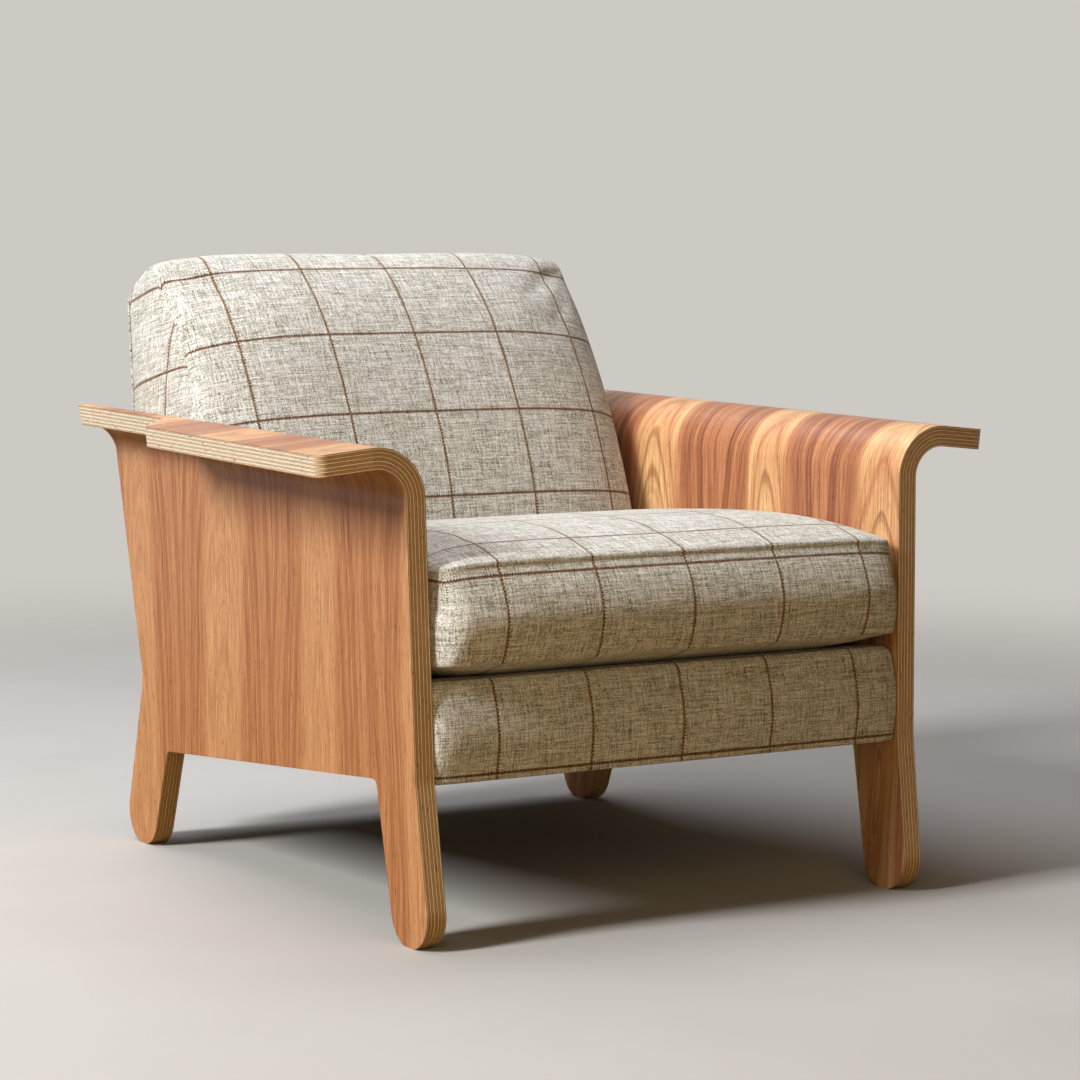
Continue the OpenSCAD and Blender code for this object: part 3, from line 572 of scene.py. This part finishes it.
seat = {
    "halfWidth": 0.3056, "halfDepth": 0.2458, "corner": 0.026, "front": -0.018, "low": 0.1268,
    "boxing": 0.105, "crown": 0.035, "under": 0.015, "overhang": 0.0045, "cornerDrop": 0.005, "roll": 0.005,
    "rollIn": 0.009, "frontBulge": 0.018, "sideBulge": 0.002, "endRound": 0.105, "firstLine": 0.057,
    "boxingLine": 0.095, "columns": 92, "rows": 74, "boxingRows": 14, "seamCrease": 0.8, "nearSeamHeld": 0.7,
    "pressure": 2.0, "cap": 0.008,
}


def makeSeatCushion():
    s = SimpleNamespace(**seat)
    across, along = spread(s.columns, 1.3), spread(s.rows, 1.3)
    nx, ny = len(across), len(along)
    points, faces, cloth = [], [], []
    index, nearSeam = {}, []
    for layer in ("top", "under"):
        for j, b in enumerate(along):
            for i, a in enumerate(across):
                x, y = roundCorner(a, b, s.halfWidth, s.halfDepth, s.corner)
                full = (1 - abs(a) ** 10) * (1 - abs(b) ** 4)
                edge = min(1, min((1 - abs(a)) * s.halfWidth, (1 - abs(b)) * s.halfDepth) / s.rollIn)
                index[layer, i, j] = len(points)
                if edge < 1:
                    nearSeam.append(len(points))
                if layer == "top":  # its front and rear edges hang over the seam
                    roll = s.roll * math.sqrt(edge * (2 - edge))
                    z = s.low + s.boxing + s.crown * full + roll - s.cornerDrop * abs(a * b) ** 10
                    y += math.copysign(s.overhang * math.sin(math.pi * edge) * (1 - abs(a) ** 20), b)
                else:
                    z = s.low - s.under * min(1, 1.6 * full)
                points.append((x, y + s.front + s.halfDepth, z))
    grid = np.array(points)
    # place in the flat cloth: across as it lies, and along from the front seam as measured on the surface
    lengths = {}
    for layer in ("top", "under"):
        for i in range(nx):
            run = 0.0
            for j in range(ny):
                if j:
                    run += float(np.linalg.norm(grid[index[layer, i, j]] - grid[index[layer, i, j - 1]]))
                lengths[layer, i, j] = run
    for layer in ("top", "under"):
        for j in range(ny - 1):
            for i in range(nx - 1):
                corners = [(i, j), (i + 1, j), (i + 1, j + 1), (i, j + 1)]
                if layer == "under":
                    corners.reverse()
                faces.append([index[layer, ci, cj] for ci, cj in corners])
                for ci, cj in corners:
                    cloth.append((grid[index[layer, ci, cj]][0], lengths[layer, ci, cj] - s.firstLine))
    # the boxing: a strip round the edge, whose join is hidden behind
    loop = ([(i, 0) for i in range(nx // 2, nx)] + [(nx - 1, j) for j in range(1, ny)]
            + [(i, ny - 1) for i in range(nx - 2, -1, -1)] + [(0, j) for j in range(ny - 2, -1, -1)]
            + [(i, 0) for i in range(1, nx // 2)])
    count = len(loop)
    ring = {}
    plan = np.array([grid[index["top", i, j]][:2] for i, j in loop])
    outward = outwardOf(plan)

    def boxingPart(k):  # rows lie closer together towards both seams
        return 0.5 - 0.5 * math.cos(math.pi * k / s.boxingRows)

    for k in range(1, s.boxingRows):
        part = boxingPart(k)
        for n in range(count):
            end = max(0, 1 - (s.halfWidth - abs(plan[n][0])) / s.endRound)
            ahead = min(1, max(0, (s.front + s.corner - plan[n][1]) / s.corner))
            swell = s.frontBulge * (0.4 + 0.6 * (1 - end * end) ** 0.7) * ahead
            edge = min(1, min(part, 1 - part) * s.boxing / s.rollIn)
            roll = s.roll * 0.6 * math.sqrt(edge * (2 - edge)) * (part < 0.5)
            x, y = plan[n] + outward[n] * (roll + s.sideBulge * math.sin(math.pi * part) * (swell == 0))
            puff = math.sin(math.pi * part) ** (1 if part < 0.5 else 1.4)
            ring[n, k] = len(points)
            high = grid[index["top", *loop[n]]][2]
            points.append((x, y - swell * puff, s.low + (high - s.low) * part))
    for n in range(count):
        ring[n, 0], ring[n, s.boxingRows] = index["under", *loop[n]], index["top", *loop[n]]
    step = np.linalg.norm(np.roll(plan, -1, 0) - plan, axis=1)
    runs = np.concatenate([[0], np.cumsum(step)]) + plan[0][0]
    half = runs[-1] - plan[0][0]
    for n in range(count):
        a, b = runs[n], runs[n + 1]
        if a - plan[0][0] > half / 2:
            a, b = a - half, b - half
        m = (n + 1) % count
        for k in range(s.boxingRows):
            low = s.boxing * boxingPart(k) - s.boxingLine
            high = s.boxing * boxingPart(k + 1) - s.boxingLine
            faces.append([ring[n, k], ring[m, k], ring[m, k + 1], ring[n, k + 1]])
            cloth += [(a, low), (b, low), (b, high), (a, high)]
    creases, held = {}, {vertex: s.nearSeamHeld for vertex in nearSeam}
    for n in range(count):
        for k in (0, s.boxingRows):
            creases[tuple(sorted((ring[n, k], ring[(n + 1) % count, k])))] = s.seamCrease
            held[ring[n, k]] = 1.0
        for k in (1, s.boxingRows - 1):
            held[ring[n, k]] = s.nearSeamHeld
        if plan[n][1] > s.front + 2 * s.halfDepth - s.corner:  # the zip keeps the rear boxing flat
            for k in range(1, s.boxingRows):
                held[ring[n, k]] = 1.0
    placed = raked(points, base, rake["seat"])
    piece = makePiece("seatCushion", placed, faces, cloth, windowpaneLinen, creases)
    pointOutwards(piece)
    stuff(piece, held, s.pressure, s.cap)
    return piece


seatCushion = makeSeatCushion()
print("seat cushion made")


# Upholstered back: a crowned front that wraps over the top, and two side gussets

backShape = {
    "fullHalf": 0.300, "halfWidth": 0.293, "round": 0.024, "thick": 0.246, "length": 0.590, "crown": 0.032,
    "power": 5, "rowAt": (0.296, 0.705), "columns": 72, "steps": 6, "gussetRings": 16, "middle": (-0.45, 0.5),
    "rearGap": 0.001, "nailed": -0.03, "pressure": 2.0, "cap": 0.008,
    "outline": [
        (0, 0.17), (0, 0.45), (0, 0.75), (0, 0.92), (-0.02, 0.955), (-0.13, 0.98), (-0.27, 0.999),
        (-0.35, 0.985), (-0.4, 0.95), (-0.53, 0.868), (-0.672, 0.757), (-0.785, 0.645), (-0.886, 0.518),
        (-0.95, 0.4), (-0.985, 0.28), (-0.985, 0.2), (-0.95, 0.16), (-0.5, 0.15)],
    "crownShares": [0, 0, 0, 0, 0.05, 0.25, 0.4, 0.6, 0.72, 1, 1, 1, 1, 0.9, 0.5, 0.2, 0, 0],
}
gusset = {"lineUp": 0.2807, "lineAcross": (0.399, 0.552), "slope": 0.262, "squeeze": 0.110 / 0.113}


def smoothLoop(points, steps):
    points = np.asarray(points, float)
    made = []
    for i in range(len(points)):
        a, b, c, d = (points[(i + k) % len(points)] for k in (-1, 0, 1, 2))
        for k in range(steps):
            t = k / steps
            made.append((2 * b + (c - a) * t + (2 * a - 5 * b + 4 * c - d) * t ** 2
                         + (3 * b - a - 3 * c + d) * t ** 3) / 2)
    return np.array(made)


def makeBackCushion():
    s = SimpleNamespace(**backShape)
    shares = [(y * s.thick, z * s.length, c) for (y, z), c in zip(s.outline, s.crownShares)]
    loop = smoothLoop(shares, s.steps)
    loop[:, 0] = np.minimum(loop[:, 0], -s.rearGap)  # its rear stays in front of the panel behind it
    flat, crown = loop[:, :2], loop[:, 2]
    outward = outwardOf(flat)
    across = spread(s.columns, 1.35)
    slant = math.sqrt(0.5)  # the seam lies halfway round the edge
    n, m = len(flat), len(across)
    points, faces, cloth = [], [], []
    for a in across:
        past = max(0, abs(a) * s.halfWidth - (s.fullHalf - s.round))
        rise = s.crown * (1 - abs(a) ** s.power) + math.sqrt(s.round ** 2 - past ** 2) - s.round * slant
        for i in range(n):
            y, z = flat[i] + outward[i] * rise * crown[i]
            points.append((a * s.halfWidth, y, z))
    middle = points[(m // 2) * n:(m // 2) * n + n]
    steps = [math.dist(middle[i], middle[(i + 1) % n]) for i in range(n)]
    runs = np.concatenate([[0], np.cumsum(steps)])
    placedMiddle = raked(middle, backFoot, rake["back"])[:, 1:]
    firstRow = runs[int(np.argmin(np.linalg.norm(placedMiddle - np.array(s.rowAt), axis=1)))]
    for j in range(m - 1):
        for i in range(n):
            k = (i + 1) % n
            a, b = j * n + i, j * n + k
            c, d = b + n, a + n
            faces.append([a, d, c, b])
            u0, u1 = across[j] * s.halfWidth, across[j + 1] * s.halfWidth
            v0, v1 = firstRow - runs[i], firstRow - runs[i + 1]
            cloth += [(u0, v0), (u1, v0), (u1, v1), (u0, v1)]
    # gussets: rings that close towards a middle point
    mid = np.array([s.middle[0] * s.thick, s.middle[1] * s.length])
    held = {}
    g = SimpleNamespace(**gusset)

    def gussetCloth(point):  # its lines across slope down towards the rear, as in the photograph
        x, y, z = raked([point], backFoot, rake["back"])[0]
        return (y - g.lineUp + check["acrossStart"] / 1000,
                (z + g.slope * (y - g.lineAcross[0]) - g.lineAcross[1]) * g.squeeze)

    for side, j in ((-1, 0), (1, m - 1)):
        last = [j * n + i for i in range(n)]
        for i in range(n):
            held[last[i]] = 1.0
        for ringIndex in range(1, s.gussetRings):
            size = 1 - ringIndex / s.gussetRings
            now = []
            for i in range(n):
                y, z = mid + (flat[i] - mid) * size ** 1.5
                now.append(len(points))
                left = max(0, s.round * slant - math.dist((y, z), flat[i]))
                points.append((side * (s.fullHalf - s.round + math.sqrt(s.round ** 2 - left ** 2)), y, z))
            for i in range(n):
                k = (i + 1) % n
                face = [last[i], last[k], now[k], now[i]] if side > 0 else [last[k], last[i], now[i], now[k]]
                faces.append(face)
                cloth += [gussetCloth(points[p]) for p in face]
            last = now
        centre = len(points)
        points.append((side * s.fullHalf, mid[0], mid[1]))
        for i in range(n):
            k = (i + 1) % n
            face = [last[i], last[k], centre] if side > 0 else [last[k], last[i], centre]
            faces.append(face)
            cloth += [gussetCloth(points[p]) for p in face]
    placed = raked(points, backFoot, rake["back"])
    piece = makePiece("backCushion", placed, faces, cloth, windowpaneLinen)
    for i in range(n):  # the rear edge is nailed to the frame
        if flat[i][0] > s.nailed:
            for j in range(m):
                held[j * n + i] = 1.0
    pointOutwards(piece)
    stuff(piece, held, s.pressure, s.cap)
    return piece


backCushion = makeBackCushion()
print("back made")


# Front of the seat base: cloth drawn over the padded rail, turned in above and hemmed below

apron = {
    "corner": 0.014, "top": 0.1115, "turnIn": 0.055, "underReturn": 0.040, "bulge": 0.008, "columns": 84,
    "edgeRound": 0.012, "endRound": 0.028, "endBack": 0.010, "endGap": 0.0006, "firstRow": 0.0055,
    "thick": 0.0015, "flatWidth": 0.620, "bulgeFrom": 0.008,
    "hem": [(0.028, 0.0), (0.016, 0.0), (0.007, 0.0), (0.003, 0.0004), (0.0008, 0.0016), (0.0, 0.0036)],
}


def makeApron():
    s = SimpleNamespace(**apron)
    r = s.corner
    profile = [(s.underReturn, 0.0), *s.hem]
    for z in np.linspace(s.bulgeFrom, s.top - r, 20):
        share = (z - s.bulgeFrom) / (s.top - r - s.bulgeFrom)
        profile.append((-s.bulge * math.sin(math.pi * share), z))
    for t in np.radians(np.linspace(80, 0, 9)):
        profile.append((r - r * math.sin(t), s.top - r + r * math.cos(t)))
    profile += [(0.024, s.top), (0.038, s.top), (s.turnIn, s.top)]
    runs = np.concatenate([[0], np.cumsum([math.dist(a, b) for a, b in zip(profile, profile[1:])])])
    front = next(i for i, p in enumerate(profile) if p[1] >= s.firstRow)
    points = []
    for a in spread(s.columns, 1.3):
        for y, z in profile:
            half = board["innerHalf"] + (base["z"] + z) * math.tan(board["lean"]) - s.endGap
            below = s.top - z
            if below < s.edgeRound:
                half -= s.edgeRound - math.sqrt(max(0, s.edgeRound ** 2 - (s.edgeRound - below) ** 2))
            end = max(0, 1 - (1 - abs(a)) * half / s.endRound)
            points.append((a * half, y + s.endBack * (1 - math.sqrt(1 - end * end)), z))
    n = len(profile)
    piece = makeSheet("baseApron", points, n, (0, 3, 2, 1), (base, rake["seat"]),
                      lambda p: (points[p][0], runs[p % n] - runs[front]), windowpaneLinen, s.thick)
    pointOutwards(piece)
    return piece, (s.flatWidth, float(runs[-1]))


baseApron, apronFlat = makeApron()
print("apron made")


# Cloth behind the back, sewn on by hand along its edges

rearPanel = {
    "halfWidth": 0.2955, "lowHalfWidth": 0.2995, "narrowFrom": 0.088, "narrowOver": 0.010, "top": 0.556,
    "proud": 0.0022, "thick": 0.0022, "firstLine": 0.05, "columns": 40, "rows": 44,
}


def makeRearPanel():
    s = SimpleNamespace(**rearPanel)
    points = []
    across = spread(s.columns, 1.5)
    for b in (spread(s.rows, 1.5) + 1) / 2:
        z = b * s.top
        part = min(1, max(0, (z - s.narrowFrom) / s.narrowOver))
        half = s.lowHalfWidth + (s.halfWidth - s.lowHalfWidth) * part
        for a in across:
            puff = (1 - abs(a) ** 24) * (1 - abs(2 * b - 1) ** 24)
            points.append((a * half, s.proud * (0.15 + 0.85 * puff), z))
    return makeSheet("rearPanel", points, len(across), (1, 0, 3, 2), (backFoot, rake["back"]),
                     lambda p: (points[p][0], points[p][2] - s.firstLine), windowpaneLinen, s.thick)


outsideBack = makeRearPanel()
print("rear panel made")


# Black cloth over the webbing, and under the seat

deck = {
    "front": 0.052, "rear": 0.740 - 0.048 - 0.012, "halfWidth": 0.2945, "high": 0.1115, "below": 0.003,
    "edgeDrop": 0.004, "swell": 0.002, "wavesAcross": 2.5, "wavesAlong": 10, "thick": 0.014,
    "columns": 60, "rows": 70,
}


def makeDeck():
    s = SimpleNamespace(**deck)
    points = []
    for b in np.linspace(0, 1, s.rows + 1):
        y = s.front + (s.rear - s.front) * b
        for a in np.linspace(-1, 1, s.columns + 1):
            edge = (1 - abs(a) ** 12) * (1 - abs(2 * b - 1) ** 16)
            across = 0.5 + 0.5 * math.cos(a * s.wavesAcross * math.pi)
            along = 0.6 + 0.4 * math.cos(b * s.wavesAlong * math.pi)
            z = s.high - s.edgeDrop * (1 - edge) - s.below + s.swell * across * along * edge
            points.append((a * s.halfWidth, y, z))
    return makeSheet("seatDeck", points, s.columns + 1, (0, 1, 2, 3), (base, rake["seat"]),
                     lambda p: points[p][:2], blackLining, s.thick)


seatDeck = makeDeck()

dust = {
    "low": 0.0065, "front": 0.046, "sag": 0.003, "pucker": 0.0006, "inset": 0.004, "thick": 0.0006,
    "columns": 48, "rows": 48,
}


def makeDustCloth():
    s = SimpleNamespace(**dust)
    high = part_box("dust_cover")[1]
    half = high.x - s.inset
    rear = (high.y - base["y"]) / math.cos(rake["seat"]) - s.inset
    points = []
    for b in np.linspace(0, 1, s.rows + 1):
        y = s.front + (rear - s.front) * b
        for a in np.linspace(-1, 1, s.columns + 1):
            edge = (1 - a ** 8) * (1 - (2 * b - 1) ** 8)
            pucker = s.pucker * math.cos(a * 30) * math.cos(b * 36)
            points.append((a * half, y, s.low - s.sag * edge + pucker))
    piece = makeSheet("dustCloth", points, s.columns + 1, (1, 0, 3, 2), (base, rake["seat"]),
                      lambda p: points[p][:2], blackLining, s.thick)
    return piece, (2 * half, rear - s.front)


dustCloth, dustFlat = makeDustCloth()
print("deck and dust cloth made")


# Staples round the dust cloth and the coil of the zip: one tree that sets arched bars along a path

def barTree():
    tree = bpy.data.node_groups.new("Arched bars along a path", "GeometryNodeTree")
    keys = {}
    for name, kind in (("Path", "Geometry"), ("Spacing", "Float"), ("Reach", "Float"), ("Rise", "Float"),
                       ("Thick", "Float"), ("Turn", "Float"), ("Material", "Material")):
        socket = tree.interface.new_socket(name, in_out="INPUT", socket_type="NodeSocket" + kind)
        keys[name] = socket.identifier
    tree.interface.new_socket("Bars", in_out="OUTPUT", socket_type="NodeSocketGeometry")
    corners = {"Start": "leftEnd", "Start Handle": "leftHigh", "End Handle": "rightHigh", "End": "rightEnd"}
    addRows(tree, {}, [
        ("start", "NodeGroupInput"),
        ("right", "MULTIPLY", "start.Reach", 0.5),
        ("left", "MULTIPLY", "start.Reach", -0.5),
        ("round", "MULTIPLY", "start.Thick", 0.5),
        ("leftEnd", "CombineXYZ", {0: "left"}),
        ("leftHigh", "CombineXYZ", {0: "left", 2: "start.Rise"}),
        ("rightHigh", "CombineXYZ", {0: "right", 2: "start.Rise"}),
        ("rightEnd", "CombineXYZ", {0: "right"}),
        ("arch", "GeometryNodeCurvePrimitiveBezierSegment", {"Resolution": 5, **corners}),
        ("section", "GeometryNodeCurvePrimitiveCircle", {"Resolution": 6, "Radius": "round"}),
        ("bar", "GeometryNodeCurveToMesh", {"Curve": "arch", "Profile Curve": "section", "Fill Caps": True}),
        ("turn", "CombineXYZ", {2: "start.Turn"}),
        ("turned", "GeometryNodeTransform", {"Geometry": "bar", "Rotation": "turn"}),
        ("path", "GeometryNodeMeshToCurve", {"Mesh": "start.Path"}),
        ("steps", "GeometryNodeCurveToPoints", {"Curve": "path", "Length": "start.Spacing"},
         {"mode": "LENGTH"}),
        ("facing", "FunctionNodeAlignRotationToVector", {"Vector": "steps.Tangent"},
         {"axis": "X", "pivot_axis": "Z"}),
        ("bars", "GeometryNodeInstanceOnPoints",
         {"Points": "steps", "Instance": "turned", "Rotation": "facing"}),
        ("real", "GeometryNodeRealizeInstances", {"Geometry": "bars"}),
        ("dressed", "GeometryNodeSetMaterial", {"Geometry": "real", "Material": "start.Material"}),
        ("end", "NodeGroupOutput", {0: "dressed"}),
    ])
    return tree, keys


barsAlong, barKeys = barTree()


def makeBars(name, corners, closed, place, shape, material):
    mesh = bpy.data.meshes.new(name)
    edges = [(i, i + 1) for i in range(len(corners) - 1)] + ([(len(corners) - 1, 0)] if closed else [])
    mesh.from_pydata(corners, edges, [])
    piece = linkObject(name, mesh)
    bars = piece.modifiers.new("bars", "NODES")
    bars.node_group = barsAlong
    for key in ("spacing", "reach", "rise", "thick", "turn"):
        bars[barKeys[key.capitalize()]] = shape[key]
    bars[barKeys["Material"]] = material
    applyModifiers(piece)
    piece.data.transform(place)
    piece.data.materials.clear()
    piece.data.materials.append(material)
    return piece


staple = {
    "inset": 0.007, "sunk": 0.0008, "spacing": 0.034, "reach": 0.010, "rise": 0.0012, "thick": 0.0011,
    "turn": math.radians(24),
}


def makeStaples():
    halfX = dustFlat[0] / 2 - staple["inset"]
    nearY, farY = dust["front"] + staple["inset"], dust["front"] + dustFlat[1] - staple["inset"]
    corners = [(-halfX, -nearY, 0), (halfX, -nearY, 0), (halfX, -farY, 0), (-halfX, -farY, 0)]
    place = (Matrix.Translation((0, base["y"], base["z"])) @ Matrix.Rotation(-rake["seat"], 4, "X")
             @ Matrix.Translation((0, 0, dust["low"] - staple["sunk"])) @ Matrix.Rotation(math.pi, 4, "X"))
    return makeBars("dustClothStaples", corners, True, place, staple, zincSteel)


coil = {
    "endGap": 0.012, "spacing": 0.0026, "reach": 0.0056, "rise": 0.0016, "thick": 0.0012, "turn": math.pi / 2,
}


def makeZipCoil():
    low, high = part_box("cushion_zip")
    middle, half = (low + high) / 2, (high.x - low.x) / 2 - coil["endGap"]
    out = Matrix.Rotation(-rake["seat"], 4, "X") @ Vector((0, 1, 0))
    place = (Matrix.Translation(middle + out * coil["thick"] * 0.5) @ Matrix.Rotation(-rake["seat"], 4, "X")
             @ Matrix.Rotation(-math.pi / 2, 4, "X"))
    return makeBars("zipCoil", [(-half, 0, 0), (half, 0, 0)], False, place, coil, nylonCoil)


dustClothStaples, zipCoil = makeStaples(), makeZipCoil()
print("staples and zip coil made:", len(dustClothStaples.data.polygons), len(zipCoil.data.polygons), "faces")


# Camera, light and floor

camera = {
    "place": (-2.11621, -3.49844, 0.82714), "yaw": math.radians(31.895), "pitch": math.radians(-6.11),
    "roll": math.radians(0.551), "focalPixels": 3412.59, "imagePixels": 1080,
}


def makeCamera():
    c = SimpleNamespace(**camera)
    data = bpy.data.cameras.new("camera")
    data.sensor_fit = "HORIZONTAL"
    data.sensor_width = 36
    data.lens = 36 * c.focalPixels / c.imagePixels
    data.clip_end = 100
    shot = linkObject("camera", data)
    shot.matrix_world = (Matrix.Translation(c.place) @ Matrix.Rotation(-c.yaw, 4, "Z")
                         @ Matrix.Rotation(math.pi / 2 + c.pitch, 4, "X") @ Matrix.Rotation(c.roll, 4, "Z"))
    bpy.context.scene.camera = shot


makeCamera()

lights = {
    "key": {"from": (-1.0, -0.062), "height": math.radians(34), "away": 6.0, "size": (1.0, 2.5), "watts": 448,
            "colour": "#ffffff"},
    "above": {"from": (-0.4, 0.8), "height": math.radians(71), "away": 2.6, "size": (2.2, 2.2), "watts": 65,
              "colour": "#f8f9ff"},
    "fill": {"from": (-0.5, -1.0), "height": math.radians(14), "away": 3.0, "size": (2.4, 2.4), "watts": 22.5,
             "colour": "#ffdca8"},
    "world": 0.045, "worldColour": "#ffe2b4", "backdrop": "#cdc9c3",
}


def addLamp(name, spec, target=Vector((0, 0, 0.3))):
    lamp = bpy.data.lights.new(name, "AREA")
    lamp.shape = "RECTANGLE"
    lamp.size, lamp.size_y = spec["size"]
    lamp.energy = spec["watts"]
    lamp.color = linear(spec["colour"])[:3]
    flat = Vector((*spec["from"], 0)).normalized() * math.cos(spec["height"])
    away = (flat + Vector((0, 0, math.sin(spec["height"])))) * spec["away"]
    placed = linkObject(name, lamp)
    placed.location = target + away
    placed.rotation_euler = away.to_track_quat("Z", "Y").to_euler()


for name in ("key", "above", "fill"):
    addLamp(name + " lamp", lights[name])

world = bpy.data.worlds.new("studio")
bpy.context.scene.world = world
world.use_nodes = True
world.node_tree.nodes.clear()
addRows(world.node_tree, {}, [
    ("rays", "LightPath"),
    ("looked", "MAXIMUM", "rays.Is Camera Ray", "rays.Is Glossy Ray"),
    ("clear", "MAXIMUM", "looked", "rays.Is Transmission Ray"),
    ("level", "Mix", {0: "clear", 2: lights["world"], 3: 1.0}),
    ("tint", "Mix", {0: "clear", 6: lights["worldColour"], 7: lights["backdrop"]}, mixed),
    ("glow", "Background", {0: "tint", 1: "level"}),
    ("end", "OutputWorld", {0: "glow"}),
])

floorMesh = bpy.data.meshes.new("floor")
floorMesh.from_pydata([(-9, -9, 0), (9, -9, 0), (9, 9, 0), (-9, 9, 0)], [], [(0, 1, 2, 3)])
floor = linkObject("floor", floorMesh)

# Matt painted studio floor: pale, dry and barely mottled. It fades into the backdrop away from the chair and
# is clear from below, and its bounce is warmer than it looks, as from a boarded room.
floorPaint = makeMaterial("Matt pale floor paint", [
    ("coords", "TexCoord"),
    ("mottle", "TexNoise", {"Vector": "coords.Object", "Scale": 2.5, "Detail": 4.0}),
    ("tone", "ValToRGB", "mottle", {"stops": [(0.3, "#b3b1ad"), (0.7, "#b9b7b4")]}),
    ("ray", "LightPath"),
    ("shown", "Mix", {0: "ray.Is Camera Ray", 6: "#7d6644", 7: "tone"}, mixed),
    ("paint", "BsdfPrincipled", {"Base Color": "shown", "Roughness": 0.95, "Specular IOR Level": 0.1}),
    ("reach", "VectorMath", "coords.Object", {"operation": "LENGTH"}),
    ("far", "MapRange", {0: "reach", 1: 1.1, 2: 3.2}, {"interpolation_type": "SMOOTHERSTEP"}),
    ("side", "NewGeometry"),
    ("gone", "MAXIMUM", "far", "side.Backfacing"),
    ("clearing", "BsdfTransparent"),
    ("surface", "MixShader", {0: "gone", 1: "paint", 2: "clearing"}),
])
floorMesh.materials.append(floorPaint)
bpy.context.scene.view_settings.view_transform = "Standard"
print("camera, light and floor made")


# Finish: what each piece stands for and rides on

for piece in (seatCushion, backCushion, baseApron, outsideBack):
    smooth = piece.modifiers.new("smooth", "SUBSURF")
    smooth.levels = smooth.render_levels = 1
    if len(piece.modifiers) > 1:  # rounds the cloth before it gets its thickness
        piece.modifiers.move(len(piece.modifiers) - 1, 0)

for piece, body, slotName, stands in (
        (seatCushion, "seat_cushion", "check_fabric", ("seat_cushion_cover", "seat_cushion_core")),
        (backCushion, "frame", "check_fabric", ("back_cover", "back_foam")),
        (baseApron, "frame", "check_fabric", ("base_front_cover", "front_rail_padding")),
        (outsideBack, "frame", "check_fabric", ("back_outer_panel",)),
        (seatDeck, "frame", "lining_cloth", ("deck_cloth", "deck_pad")),
        (dustCloth, "frame", "lining_cloth", ("dust_cover",)),
        (dustClothStaples, "frame", "zinc_steel", ()),
        (zipCoil, "seat_cushion", "zip_tape", ())):
    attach(piece, body)
    if stands:
        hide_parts(*stands)

print("pieces ride on their bodies")
